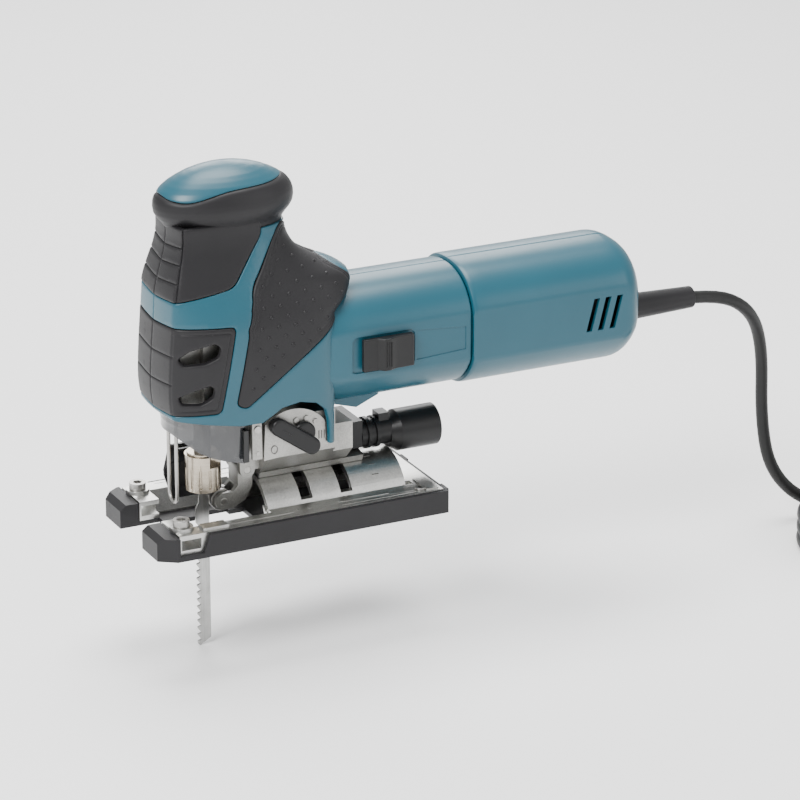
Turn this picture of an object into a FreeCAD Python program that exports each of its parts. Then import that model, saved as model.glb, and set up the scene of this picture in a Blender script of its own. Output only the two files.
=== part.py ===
import FreeCAD, Part

import math
import os
import re

import Sketcher

from FreeCAD import Placement, Rotation, Vector

# A barrel-grip jigsaw, in millimetres. The origin is the middle of the sole's underside.
# +X points to the rear, where the cord leaves, and +Z points up. The front of the tool is at -X.

doc = FreeCAD.newDocument("jigsaw")

# ---------------------------------------------------------------- driving dimensions

SIZES = {
    # shoe: an aluminium base plate in a black tray
    "shoe_front": -81,
    "shoe_rear": 81,
    "shoe_half": 41,
    "tray_top": 12.5,
    "tray_floor": 2.5,
    "tray_wall": 2.5,
    "plate_top": 13,
    "notch_half": 14.5,
    "opening_front": -59,
    "opening_rear": -14,
    "opening_half": 19.5,
    "opening_top_half": 28.5,
    "blade_slot_half": 8,
    "tilt_axis_up": 2,
    "hump_outer": 24,
    "hump_inner": 20.5,
    "hump_front": -12.7,
    "hump_rear": 67,
    "hump_groove_half": 24.8,
    "bolt_slot_front": 10,
    "bolt_slot_rear": 33,
    "bolt_slot_half": 3.4,
    "bevel_bolt": 2.5,
    # foot: the saddle on the tool that rides on the hump
    "saddle_inner": 24.3,
    "saddle_outer": 28,
    "saddle_half_angle": 21,
    "foot_front": -29,
    "foot_rear": 48,
    # reciprocating parts
    "blade_axis": -40,
    "plunger_radius": 4.5,
    "plunger_top": 146.5,
    "blade_thick": 1.3,
    "blade_teeth_x": -44.6,
    "blade_back_x": -37.1,
    "blade_tip": -67.6,
    "clamp_radius": 9.55,
    "clamp_low": 21.6,
    "clamp_top": 41,
    "collar_radius": 6.45,
    "collar_low": 20.2,
    "fit_gap": 0.05,
    # blade roller
    "pivot_x": -18.7,
    "pivot_up": 30.5,
    "roller_x": -30.9,
    "roller_up": 13.9,
    "roller_radius": 5.9,
    "pin_radius": 2,
    # drive
    "motor_up": 93,
    "module_size": 1,
    "pinion_teeth": 9,
    "gear_teeth": 36,
    "gear_front": -22,
    "gear_rear": -14,
    "crank": 13,
    "shaft_radius": 4,
    "core_radius": 18.8,
    "fan_radius": 26,
    # housing
    "head_wall": 3.2,
    "rubber_depth": 1.6,
    "head_high": 162,
    "barrel_radius": 32.5,
    "barrel_rear": 101.5,
    "cover_radius": 34,
    "cover_front": 102,
    "cover_rear": 206,
    "cover_wall": 3,
    "knob_x": -26,
    "knob_up": 177.5,
    "knob_half_length": 38,
    "knob_half_width": 23,
    "knob_rise": 20,
    "knob_drop": 15,
    # controls
    "lever_x": 6,
    "lever_up": 53,
    "bracket_y": -23,
    "slider_front": 37,
    "slider_rear": 66,
    "slider_low": 83.5,
    "slider_high": 101,
    "slider_face": -35.5,
    # dust parts
    "nozzle_front": 49,
    "nozzle_rear": 94,
    "nozzle_up": 34.75,
    "nozzle_bore": 8.5,
    # cord
    "cord_radius": 3.5,
    "coil_radius": 40,
    "coil_half_section": 10.5,
    "coil_x": 356,
    "coil_y": -45,
}

sheet = doc.addObject("Spreadsheet::Sheet", "sizes")
for row, (alias, value) in enumerate(SIZES.items(), start=1):
    sheet.set(f"A{row}", alias)
    sheet.set(f"B{row}", str(value))
    sheet.setAlias(f"B{row}", alias)
doc.recompute()

NODES = {}


def size(alias):
    """The value in the sheet, for shapes made with Part's own functions."""
    return float(sheet.get(alias))


def formula(text):
    """An expression in which each alias refers to the sheet."""
    return re.sub(r"[a-z_]{4,}", lambda m: f"sizes.{m[0]}" if m[0] in SIZES else m[0], str(text))


def bind(item, **fields):
    for field, text in fields.items():
        item.setExpression(field.replace("__", "."), formula(text))
    return item


def place(item, x=0, y=0, z=0, turn=None):
    if turn:
        item.Placement = Placement(Vector(), turn)
    return bind(item, Placement__Base__x=x, Placement__Base__y=y, Placement__Base__z=z)


ALONG_X = Rotation(Vector(0, 1, 0), 90)
ALONG_Y = Rotation(Vector(1, 0, 0), -90)


def box(x0, x1, y0, y1, z0, z1):
    """A box between two corners, each number or expression an edge's place."""
    item = doc.addObject("Part::Box", "block")
    bind(item, Length=f"({x1}) - ({x0})", Width=f"({y1}) - ({y0})", Height=f"({z1}) - ({z0})")
    return place(item, x0, y0, z0)


def rod(radius, start, end, x=0, y=0, z=0, turn=None):
    """A cylinder from start to end along its axis: Z, or X or Y with a turn."""
    item = doc.addObject("Part::Cylinder", "round")
    bind(item, Radius=radius, Height=f"({end}) - ({start})")
    if turn is ALONG_X:
        return place(item, start, y, z, turn)
    if turn is ALONG_Y:
        return place(item, x, start, z, turn)
    return place(item, x, y, start)


def cone(radius_start, radius_end, start, end, x=0, y=0, z=0, turn=None):
    item = doc.addObject("Part::Cone", "taper")
    bind(item, Radius1=radius_start, Radius2=radius_end, Height=f"({end}) - ({start})")
    if turn is ALONG_X:
        return place(item, start, y, z, turn)
    if turn is ALONG_Y:
        return place(item, x, start, z, turn)
    return place(item, x, y, start)


def own(shape):
    """A plain feature that holds a shape made with Part's own functions, where it was made."""
    item = doc.addObject("Part::Feature", "shape")
    item.Shape = shape
    item.Placement = shape.Placement
    return item


def fuse(*items):
    if len(items) == 1:
        return items[0]
    whole = doc.addObject("Part::MultiFuse", "joined")
    whole.Shapes = list(items)
    whole.Refine = True
    return whole


def cut(base, *tools):
    left = doc.addObject("Part::Cut", "cut")
    left.Base = base
    left.Tool = fuse(*tools)
    left.Refine = True
    return left


def common(first, second):
    shared = doc.addObject("Part::Common", "shared")
    shared.Base = first
    shared.Tool = second
    return shared


def node(label, item):
    """Name a finished sub-part. Its label is the name of its file."""
    item.Label = label
    NODES[label] = item
    return item


def prism_y(points, y0, y1):
    """A solid with an XZ outline, from y0 to y1."""
    wire = Part.makePolygon([Vector(x, y0, z) for x, z in points] + [Vector(points[0][0], y0, points[0][1])])
    return Part.Face(wire).extrude(Vector(0, y1 - y0, 0))


def prism_x(points, x0, x1):
    """A solid with a YZ outline, from x0 to x1."""
    wire = Part.makePolygon([Vector(x0, y, z) for y, z in points] + [Vector(x0, *points[0])])
    return Part.Face(wire).extrude(Vector(x1 - x0, 0, 0))


def prism_z(points, z0, z1):
    """A solid with an XY outline, from z0 to z1."""
    wire = Part.makePolygon([Vector(x, y, z0) for x, y in points] + [Vector(*points[0], z0)])
    return Part.Face(wire).extrude(Vector(0, 0, z1 - z0))


def side_plane(body, role):
    """One of a body's own origin planes."""
    return next(p for p in body.Origin.OriginFeatures if p.Role == role)


def sketch_on(body, role):
    sketch = body.newObject("Sketcher::SketchObject", "outline")
    sketch.AttachmentSupport = (side_plane(body, role), [""])
    sketch.MapMode = "FlatFace"
    return sketch


def draw(sketch, points):
    """A closed outline of straight edges."""
    for start, end in zip(points, points[1:] + points[:1]):
        sketch.addGeometry(Part.LineSegment(Vector(*start, 0), Vector(*end, 0)), False)
    return sketch


def circle(sketch, alias_formula, x=0, y=0):
    """A circle whose radius follows the sheet."""
    index = sketch.addGeometry(Part.Circle(Vector(x, y, 0), Vector(0, 0, 1), 5), False)
    row = sketch.addConstraint(Sketcher.Constraint("Radius", index, 5))
    sketch.setExpression(f"Constraints[{row}]", formula(alias_formula))
    return sketch


def body(label):
    return doc.addObject("PartDesign::Body", label)


# ---------------------------------------------------------------- shoe, on the tilt hinge

BOTH = {"left": -1, "right": 1}
CLAMP_BOLTS = ("bolt_slot_front", "bolt_slot_rear")
BOLT_X = -65
BOLT_Y = 29
SCREW_X = 70
SCREW_Y = 33


def fence_slot():
    """The slot across both noses that a rip fence's bar slides into."""
    return box(-69, -58, -45, 45, 5, 10.5)


def notch():
    return box("shoe_front - 5", "opening_front", "-notch_half", "notch_half", -1, 30)


def cover_plate():
    """The black tray under the shoe, with thick caps on the two noses."""
    tray = cut(
        box("shoe_front", "shoe_rear + 2", "-shoe_half", "shoe_half", 0, "tray_top"),
        box(-70, "shoe_rear", "tray_wall - shoe_half", "shoe_half - tray_wall", "tray_floor", 20),
    )
    clips = [box(82, 86, -35, -27, 1, 11), box(82, 86, 13, 21, 1, 11)]
    corners = []
    for side in BOTH.values():
        edge = side * size("shoe_half")
        toe = [(-82, edge - side * 7), (-82, edge + side), (-72, edge + side), (-72, edge)]
        corners.append(own(prism_z(toe, -1, 20)))
        brow = own(prism_y([(-82, 9), (-77, 13), (-82, 13)], *sorted((0, side * 60))))
        corners.append(brow)
    side_step = own(prism_y([(-70.5, 2.7), (-57.5, 2.7), (-54, 12.6), (-54, 14), (-70.5, 14)], -45, 45))
    slot = box("opening_front - 1", "opening_rear", "-blade_slot_half", "blade_slot_half", -1, 5)
    roller_slot = box(-40, -22, -12, 12, -1, 5)
    key_window = box(3, 40, -8, 8, -1, 5)
    return cut(fuse(tray, *clips), notch(), slot, roller_slot, key_window, side_step, *corners)


def opening_solid():
    """The space around the blade, with sloping sides that clear the tool when it tilts."""
    low = size("opening_half")
    high = size("opening_top_half")
    section = [(-low, 0), (-low, 4), (-high, 13.1), (high, 13.1), (low, 4), (low, 0)]
    return own(prism_x(section, size("opening_front"), size("opening_rear")))


def shoe():
    """The cast base plate with the half-round hump that the foot clamps to."""
    axis = dict(z="tilt_axis_up", turn=ALONG_X)
    inside = "shoe_half - tray_wall"
    plate = box(-70, "shoe_rear", f"-({inside})", inside, "tray_floor", "plate_top")
    hump = cut(
        rod("hump_outer", "hump_front", "hump_rear", **axis),
        box(-100, 100, -40, 40, -40, "tray_floor"),
    )
    groove_side = "hump_groove_half"
    grooves = [
        box("opening_rear - 1", "hump_rear + 3", 20, groove_side, 10.8, 14),
        box("opening_rear - 1", "hump_rear + 3", f"-{groove_side}", -20, 10.8, 14),
    ]
    bosses = [rod(6.2, "tray_top", 15, x=BOLT_X, y=side * BOLT_Y) for side in BOTH.values()]
    pad = box(-56, -42, -37, -30, 12, 14.6)
    solid = cut(fuse(cut(plate, *grooves), hump, *bosses, pad), rod("hump_inner", -20, "hump_rear", **axis))
    slots = [
        box(f"{x} - bolt_slot_half", f"{x} + bolt_slot_half", -30, 30, 13.6, 30)
        for x in CLAMP_BOLTS
    ]
    bolt_holes = [rod(3, 9, 20, x=BOLT_X, y=side * BOLT_Y) for side in BOTH.values()]
    screw_holes = [rod(2, 9, 20, x=SCREW_X, y=side * SCREW_Y) for side in BOTH.values()]
    return cut(solid, notch(), opening_solid(), fence_slot(), *slots, *bolt_holes, *screw_holes)


def socket_bolt(radius, head_radius, end, seat, top, x, y):
    """A bolt with a hexagon socket: its shank runs from end to seat, and its head from seat to top."""
    bolt = fuse(
        rod(radius, min(end, seat), max(end, seat), x=x, y=y),
        rod(head_radius, min(seat, top), max(seat, top), x=x, y=y),
    )
    socket = doc.addObject("Part::Prism", "hexagon")
    bind(socket, Circumradius=head_radius * 0.55, Height=4)
    place(socket, x, y, top - 2)
    return cut(bolt, socket)


node("cover_plate", cover_plate())
node("shoe", shoe())
for hand, side in BOTH.items():
    node(f"fence_bolt_{hand}", socket_bolt(3, 4.4, 10.5, 15, 18.6, BOLT_X, side * BOLT_Y))
    node(f"plate_screw_{hand}", socket_bolt(2, 2.9, 9, 13, 14.2, SCREW_X, side * SCREW_Y))

# ---------------------------------------------------------------- foot and its clamp, on the tool


def arc_band(inner, outer, half_angle, x0, x1):
    """Part of a tube about the tilt axis, the same each side of the top."""
    angle = math.radians(half_angle)

    def at(radius, turn):
        return Vector(x0, radius * math.sin(turn), size("tilt_axis_up") + radius * math.cos(turn))

    edges = [
        Part.Arc(at(outer, -angle), at(outer, 0), at(outer, angle)).toShape(),
        Part.LineSegment(at(outer, angle), at(inner, angle)).toShape(),
        Part.Arc(at(inner, angle), at(inner, 0), at(inner, -angle)).toShape(),
        Part.LineSegment(at(inner, -angle), at(outer, -angle)).toShape(),
    ]
    return Part.Face(Part.Wire(edges)).extrude(Vector(x1 - x0, 0, 0))


PIVOT = dict(x="pivot_x", z="pivot_up", turn=ALONG_Y)
ROLLER = dict(x="roller_x", z="roller_up", turn=ALONG_Y)
EAR_INNER = 6.4
EAR_OUTER = 9.4


def foot():
    """The cast saddle that sits on the hump, its web up to the gearbox and the retainer's ears."""
    angle = size("saddle_half_angle")
    saddle = own(arc_band(size("saddle_inner"), size("saddle_outer"), angle, -12, size("foot_rear")))
    section = [(-10, 28.5), (-12, 30), (-22, 40), (-22, 62), (8, 62), (8, 28.5)]
    web = own(prism_x(section, -12, 26))
    rear_web = own(prism_x([(-10, 28.5), (-12, 30), (-19, 37), (-19, 52), (8, 52), (8, 28.5)], 26, 37.5))
    nose = box("foot_front", -11, -17, 8, 41, 62)
    ears = []
    for side in (-1, 1):
        y0, y1 = sorted((side * EAR_INNER, side * EAR_OUTER))
        ears.append(box(-23, -11, y0, y1, "pivot_up", 42))
        ears.append(rod(4.1, y0, y1, **PIVOT))
    holes = [
        rod("pin_radius", -20, 20, **PIVOT),
        rod(4.05, -30, -14, x="lever_x", z="lever_up", turn=ALONG_Y),
        *[rod("bevel_bolt", 10, 36, x=x) for x in CLAMP_BOLTS],
    ]
    return cut(fuse(saddle, web, rear_web, nose, *ears), *holes)


def side_bracket():
    """The plate beside the orbit lever, with an arched top and three detent bumps."""
    y = size("bracket_y")
    arch = Part.Arc(Vector(-15, y - 1.5, 60), Vector(2, y - 1.5, 66.5), Vector(20, y - 1.5, 56)).toShape()
    corners = [(20, 56), (20.7, 42.6), (-16, 40.5), (-15, 60)]
    sides = [
        Part.LineSegment(Vector(x0, y - 1.5, z0), Vector(x1, y - 1.5, z1)).toShape()
        for (x0, z0), (x1, z1) in zip(corners, corners[1:])
    ]
    plate = own(Part.Face(Part.Wire([arch, *sides])).extrude(Vector(0, 2.5, 0)))
    bumps = [
        rod(1.5, y - 2.3, y, x=6 + 9.5 * math.cos(a), z=53 + 7.6 * math.sin(a), turn=ALONG_Y)
        for a in (math.radians(t) for t in (112, 76, 38))
    ]
    return cut(fuse(plate, *bumps), rod(4.05, -30, -14, x="lever_x", z="lever_up", turn=ALONG_Y))


def orbit_lever():
    """A two-lobed black lever on a shaft that goes into the foot."""
    lobes = [
        rod(4.2, -31.5, -26.2, x=-10, z=60, turn=ALONG_Y),
        rod(4.6, -31.5, -26.2, x=9.5, z=46, turn=ALONG_Y),
    ]
    bar = own(prism_y([(-12.4, 56.6), (7, 42.2), (12.2, 49.8), (-7.7, 63.5)], -30.8, -26.2))
    hub = rod(5.6, -27.5, -24.9, x="lever_x", z="lever_up", turn=ALONG_Y)
    shaft = rod(4, -25, -15, x="lever_x", z="lever_up", turn=ALONG_Y)
    return fuse(*lobes, bar, hub, shaft)


node("foot", foot())
node("side_bracket", side_bracket())
node("bracket_strip", box(-22.3, -16.6, -24.5, -22, 41.5, 63))
node("orbit_lever", orbit_lever())
clamp_holes = [rod("bevel_bolt", 10, 36, x=x) for x in CLAMP_BOLTS]
node("bevel_clamp_plate", cut(own(arc_band(16.6, 20.1, 20, 4, 39)), *clamp_holes))
for number, x in enumerate(CLAMP_BOLTS, start=1):
    node(f"bevel_bolt_{number}", socket_bolt("bevel_bolt", 4.6, 35, 17.9, 13.9, x, 0))

# ---------------------------------------------------------------- blade roller, on its swinging arm


def retainer_arm():
    """A cast fork that hangs from the ears and holds the roller behind the blade."""
    elbow = [(-31, 18.5), (-31, 9.3), (-26, 9.3), (-18.5, 13), (-14.6, 20), (-14.6, 31), (-22.8, 31)]
    elbow += [(-22.8, 21.5), (-26, 18.5)]
    solid = fuse(own(prism_y(elbow, -6, 6)), rod(4.6, -6, 6, **ROLLER), rod(4.1, -6, 6, **PIVOT))
    roller_room = box(-40, -23.4, -3.4, 3.4, 5, 30)
    roller_hole = rod("pin_radius", -10, 10, **ROLLER)
    pivot_hole = rod("pin_radius + fit_gap", -10, 10, **PIVOT)
    return cut(solid, roller_room, roller_hole, pivot_hole)


def blade_roller():
    """A steel wheel with a groove for the back of the blade."""
    made = body("wheel")
    outline = sketch_on(made, "XY_Plane")
    rim = size("roller_radius")
    bore = size("pin_radius") + size("fit_gap")
    draw(outline, [(bore, -3), (rim, -3), (rim, -0.9), (rim - 0.8, 0), (rim, 0.9), (rim, 3), (bore, 3)])
    turned = made.newObject("PartDesign::Revolution", "turned")
    turned.Profile = outline
    turned.ReferenceAxis = (outline, ["V_Axis"])
    turned.Angle = 360
    return place(made, "roller_x", 0, "roller_up")


node("retainer_arm", retainer_arm())
node("roller", blade_roller())
node("roller_pin", rod("pin_radius", -6.4, 6.4, **ROLLER))
node("retainer_pin", rod("pin_radius", -EAR_OUTER, EAR_OUTER, **PIVOT))

# ---------------------------------------------------------------- plunger, clamp and blade

BLADE_SHANK = (-42.8, -37.4)
AXIS = "blade_axis"
CENTRE_DISTANCE = size("module_size") * (size("pinion_teeth") + size("gear_teeth")) / 2
GEAR_UP = size("motor_up") + CENTRE_DISTANCE
YOKE_LOW = GEAR_UP - size("crank") - 7
YOKE_HIGH = YOKE_LOW + 14


def plunger():
    """A rod that slides in two bushes, with a slotted yoke for the crank pin and a slit for the blade."""
    shaft = rod("plunger_radius", "collar_low", "plunger_top", x=AXIS)
    yoke = box(-37, -30.5, -18.6, 18.6, YOKE_LOW, YOKE_HIGH)
    pin_slot = box(-34, -30, -16.4, 16.4, YOKE_LOW + 3.6, YOKE_HIGH - 3.6)
    slit = box(BLADE_SHANK[0], BLADE_SHANK[1], "-blade_thick / 2", "blade_thick / 2", 10, 36)
    return cut(fuse(shaft, yoke), pin_slot, slit)


def blade():
    """A wood blade: a padded outline with a row of raked teeth cut along its front edge."""
    made = body("saw")
    outline = sketch_on(made, "XZ_Plane")
    front = size("blade_teeth_x")
    back = size("blade_back_x")
    tip = size("blade_tip")
    shank_front, shank_back = BLADE_SHANK
    front_edge = [(shank_front, 36), (shank_front, 14), (front, 10), (front, tip + 1)]
    rear_edge = [(front + 1.2, tip), (back, tip + 3.8), (back, 14), (shank_back, 16), (shank_back, 36)]
    draw(outline, front_edge + rear_edge)
    plate = made.newObject("PartDesign::Pad", "plate")
    plate.Profile = outline
    plate.Midplane = True
    bind(plate, Length="blade_thick")
    doc.recompute()
    tooth = sketch_on(made, "XZ_Plane")
    gap = [(front - 1, tip + 2.2), (front + 1.9, tip + 3.2), (front - 0.02, tip + 6), (front - 1, tip + 6)]
    draw(tooth, gap)
    gullet = made.newObject("PartDesign::Pocket", "gullet")
    gullet.Profile = tooth
    gullet.Midplane = True
    gullet.Type = "ThroughAll"
    doc.recompute()
    row = made.newObject("PartDesign::LinearPattern", "teeth")
    row.Originals = [gullet]
    row.Direction = (tooth, ["V_Axis"])
    row.Length = 64
    row.Occurrences = 17
    made.Tip = row
    doc.recompute()
    return made


def blade_clamp():
    """The tool-less clamp: a sleeve round the end of the plunger, with a step for the thumb."""
    sleeve = rod("clamp_radius", "clamp_low", "clamp_top", x=AXIS)
    rim = rod("clamp_radius - 1.3", "clamp_top - 0.1", "clamp_top + 1.2", x=AXIS)
    step = box(AXIS, -28, -12, -3, "clamp_top - 6", 45)
    bore = rod("plunger_radius + fit_gap", 10, 50, x=AXIS)
    ribs = [
        rod(0.7, "clamp_low + 2", "clamp_top - 7", x=-40 + 9.6 * math.cos(a), y=9.6 * math.sin(a))
        for a in (math.radians(t) for t in range(0, 360, 30))
    ]
    return cut(fuse(sleeve, rim), step, bore, *ribs)


def clamp_collar():
    """The toothed ring below the sleeve, fixed to the plunger."""
    ring = rod("collar_radius", "collar_low", 21.3, x=AXIS)
    gaps = []
    for turn in range(0, 180, 45):
        gap = Part.makeBox(16, 1.6, 10.8, Vector(-8, -0.8, 10))
        gap.rotate(Vector(), Vector(0, 0, 1), turn + 22.5)
        gap.translate(Vector(size(AXIS), 0, 0))
        gaps.append(own(gap))
    return cut(ring, rod("plunger_radius", 10, 30, x=AXIS), *gaps)


node("plunger", plunger())
node("blade", blade())
node("blade_clamp", blade_clamp())
node("clamp_collar", clamp_collar())

# ---------------------------------------------------------------- motor and gears

MOTOR = dict(z="motor_up", turn=ALONG_X)


def gear_teeth(count, module, first_angle, x0, x1, z):
    """A spur gear's toothed disc. Its teeth are narrow enough to run freely in the other's gaps."""
    pitch = count * module / 2
    root = pitch - 1.25 * module
    tip = pitch + 0.8 * module
    points = []
    for number in range(count):
        middle = first_angle + 2 * math.pi * number / count
        for radius, share in ((root, 0.27), (pitch, 0.19), (tip, 0.09)):
            points.append((radius, middle - share * 2 * math.pi / count))
        for radius, share in ((tip, 0.09), (pitch, 0.19), (root, 0.27)):
            points.append((radius, middle + share * 2 * math.pi / count))
    return prism_x([(r * math.cos(a), z + r * math.sin(a)) for r, a in points], x0, x1)


def rotor_shaft():
    """The motor shaft with the pinion's teeth cut on its front end."""
    module = size("module_size")
    pinion = gear_teeth(int(size("pinion_teeth")), module, math.pi / 2, -23, -13, size("motor_up"))
    neck = rod("shaft_radius - 0.9", -13.2, -5, **MOTOR)
    return fuse(own(pinion), neck, rod("shaft_radius", -5, 160, **MOTOR))


def rotor_core():
    """The wound core: a stack of laminations with twelve slots."""
    core = rod("core_radius", 58, 106, **MOTOR)
    slots = []
    for turn in range(0, 360, 30):
        angle = math.radians(turn)
        y = 17.4 * math.cos(angle)
        slots.append(rod(1.5, 57, 107, y=y, z=size("motor_up") + 17.4 * math.sin(angle), turn=ALONG_X))
    return cut(core, rod("shaft_radius", 50, 110, **MOTOR), *slots)


def fan():
    """A radial fan with a polar pattern of blades on a disc."""
    made = body("blower")
    disc_outline = sketch_on(made, "XY_Plane")
    circle(disc_outline, "fan_radius")
    circle(disc_outline, "shaft_radius")
    disc = made.newObject("PartDesign::Pad", "disc")
    disc.Profile = disc_outline
    disc.Length = 2
    doc.recompute()
    vane_outline = sketch_on(made, "XY_Plane")
    draw(vane_outline, [(8, -0.6), (24, -0.6), (24, 0.6), (8, 0.6)])
    vane = made.newObject("PartDesign::Pad", "vane")
    vane.Profile = vane_outline
    vane.Length = 8
    doc.recompute()
    ring = made.newObject("PartDesign::PolarPattern", "vanes")
    ring.Originals = [vane]
    ring.Axis = (vane_outline, ["N_Axis"])
    ring.Angle = 360
    ring.Occurrences = 12
    made.Tip = ring
    doc.recompute()
    return place(made, 33, 0, "motor_up", ALONG_X)


def bearing(bore, outer, x0, x1):
    return cut(rod(outer, x0, x1, **MOTOR), rod(bore, x0 - 1, x1 + 1, **MOTOR))


def drive_gear():
    """The large gear with its crank pin. The pin stops just short of the yoke's slot."""
    teeth = int(size("gear_teeth"))
    first = -math.pi / 2 + math.pi / teeth
    rim = own(gear_teeth(teeth, size("module_size"), first, size("gear_front"), size("gear_rear"), GEAR_UP))
    holes = [
        rod(2.6, -30, 0, y=9 * math.cos(a), z=GEAR_UP + 9 * math.sin(a), turn=ALONG_X)
        for a in (math.radians(t) for t in (0, 90, 180))
    ]
    disc = cut(rim, rod("shaft_radius + fit_gap", -30, 0, z=GEAR_UP, turn=ALONG_X), *holes)
    return fuse(disc, rod(3, -30.1, "gear_front", z=f"{GEAR_UP} - crank", turn=ALONG_X))


def tube(outer, inner, x0, x1):
    return cut(rod(outer, x0, x1, **MOTOR), rod(inner, f"{x0} - 1", f"{x1} + 1", **MOTOR))


node("rotor_shaft", rotor_shaft())
node("rotor_core", rotor_core())
node("fan", fan())
node("commutator", tube(11, "shaft_radius", 120, 138))
node("front_bearing", bearing("shaft_radius + fit_gap", 11, -2, 7))
node("rear_bearing", bearing("shaft_radius + fit_gap", 10, 150, 157))
node("stator", tube(26.8, 19.6, 54, 110))
node("drive_gear", drive_gear())
node("gear_axle", rod("shaft_radius", -21.5, 9, z=GEAR_UP, turn=ALONG_X))
for hand, side in BOTH.items():
    near, far = sorted((side * 11.3, side * 24))
    low, high = sorted((side * 14, side * 25.4))
    holder = cut(box(124, 134, low, high, 87, 99), box(126, 132, near, far, 89, 97))
    node(f"brush_{hand}", box(126, 132, near, far, 89, 97))
    node(f"brush_holder_{hand}", holder)

# ---------------------------------------------------------------- gearbox and guard wire


def gear_housing():
    """The cast gearbox: bushes for the plunger, seats for the bearing and the gear's axle."""
    outer = own(prism_x([(-22, 70), (-22, 134), (-15, 145), (15, 145), (22, 134), (22, 70)], -48, 10))
    front = box(-59, -47, -18, 18, 74, 116)
    room = own(prism_x([(-19.5, 74), (-19.5, 136.2), (19.5, 136.2), (19.5, 74)], -46, -3))
    front_room = box(-56, -45, -15, 15, 78, 112)
    bush_seats = rod(8, 60, 160, x=AXIS)
    holes = [
        rod(11, -10, 7, **MOTOR),
        rod("shaft_radius + 1", -10, 20, **MOTOR),
        rod("shaft_radius", -10, 9, z=GEAR_UP, turn=ALONG_X),
        rod(4.5, 60, 75, x=-20, y=12),
    ]
    return cut(fuse(outer, front), room, front_room, bush_seats, *holes)


def bush(low, high):
    return cut(rod(8, low, high, x=AXIS), rod("plunger_radius + fit_gap", low - 1, high + 1, x=AXIS))


def guard_wire():
    """A steel wire bent into a narrow U in front of the blade."""
    half = 5
    bend_up = 21.6
    x = -56.8
    left_end, right_end = Vector(x, -half, 74), Vector(x, half, 74)
    left_bend, right_bend = Vector(x, -half, bend_up), Vector(x, half, bend_up)
    low_point = Vector(x, 0, bend_up - half)
    edges = [
        Part.LineSegment(left_end, left_bend).toShape(),
        Part.Arc(left_bend, low_point, right_bend).toShape(),
        Part.LineSegment(right_bend, right_end).toShape(),
    ]
    path = Part.Wire(edges)
    profile = Part.Wire(Part.Circle(left_end, Vector(0, 0, 1), 1).toShape())
    return own(path.makePipeShell([profile], True, True))


node("gear_housing", gear_housing())
node("lower_bush", bush(70, 78))
node("upper_bush", bush(137, 145))
node("guard_wire", guard_wire())

# ---------------------------------------------------------------- dust cover, hood and nozzle


def visor_outline(inset):
    """A U in plan, open to the rear, round the front of the blade clamp."""
    half = 20 - inset
    up = 29.4
    bend = -48
    rear = -24
    edges = [
        Part.LineSegment(Vector(rear, -half, up), Vector(bend, -half, up)).toShape(),
        Part.Arc(Vector(bend, -half, up), Vector(-62.5 + inset, 0, up), Vector(bend, half, up)).toShape(),
        Part.LineSegment(Vector(bend, half, up), Vector(rear, half, up)).toShape(),
        Part.LineSegment(Vector(rear, half, up), Vector(rear, -half, up)).toShape(),
    ]
    return Part.Face(Part.Wire(edges))


def dust_cover():
    """A clear visor with a slanting lower edge, lowest beside the clamp on the left."""
    walls = []
    for inset in (0, 1.6):
        walls.append(own(visor_outline(inset).extrude(Vector(0, 0, 40))))
    rear_room = box(-31, -20, -18.4, 30, 20, 80)
    slant = own(prism_y([(-70, 20), (-70, 58), (-44, 45), (-23, 38), (-23, 20)], -30, 30))
    far_low = box(-70, -20, 2, 30, 20, 55)
    return cut(walls[0], walls[1], rear_room, slant, far_low)


def dust_hood():
    """The suction hood behind the blade, its channel, and the joint to the nozzle."""
    mouth = [(11.4, 14.8), (11.4, 29.5), (18.5, 38), (18.5, 41), (9.6, 41), (9.6, 14)]
    hood = own(prism_x(mouth, -57.5, -30))
    rounding = own(prism_y([(-60, 42), (-60, 30), (-57.5, 30), (-50, 41), (-50, 42)], 0, 30))
    low_front = own(prism_y([(-60, 10), (-52, 10), (-57.6, 28), (-60, 28)], 0, 30))
    section = [(9.6, 30.5), (11.4, 30.5), (18.5, 38), (18.5, 45), (9.6, 45)]
    channel = own(prism_x(section, -30, 38))
    joint = own(prism_x([(-7, 31), (11.4, 31), (18.5, 38), (18.5, 46), (-7, 46)], 38, 49))
    hollow = own(prism_x([(11.2, 34.4), (16.6, 39.6), (16.6, 43.2), (11.2, 43.2)], -58, 45))
    hood_room = own(prism_x([(0, 20), (10.2, 20), (10.2, 33.6), (16.6, 39.4), (0, 39.4)], -59, -33))
    outlet = rod("nozzle_bore - 3.5", 42, 50, y=0, z="nozzle_up + 3", turn=ALONG_X)
    return cut(fuse(cut(hood, hood_room), channel, joint), rounding, low_front, hollow, outlet)


def dust_nozzle():
    """The slim ribbed spout at the rear, with a wider end that takes a hose."""
    up = "nozzle_up"
    line = dict(y=0, turn=ALONG_X)
    slim = rod(7.6, "nozzle_front", 72, z=f"{up} + 1.5", **line)
    ribs = [rod(8.6, x, x + 2.2, z=f"{up} + 1.5", **line) for x in (52.5, 57.5)]
    flare = cone(8, 11.25, 66, 71, z=up, **line)
    end = rod(11.25, 71, "nozzle_rear", z=up, **line)
    hook = box(60, 66, -4, 4, 42, 47)
    bore = rod("nozzle_bore", "nozzle_rear - 20", "nozzle_rear + 1", z=up, **line)
    inlet = rod("nozzle_bore - 2.9", "nozzle_front - 1", "nozzle_rear - 19", z=f"{up} + 1.5", **line)
    return cut(fuse(slim, *ribs, flare, end, hook), bore, inlet)


node("dust_cover", dust_cover())
node("dust_cover_clip", box(-26, -22.9, -22, -20, 40, 58))
node("dust_hood", dust_hood())
node("dust_nozzle", dust_nozzle())

# ---------------------------------------------------------------- head: shells and rubber grips

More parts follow.
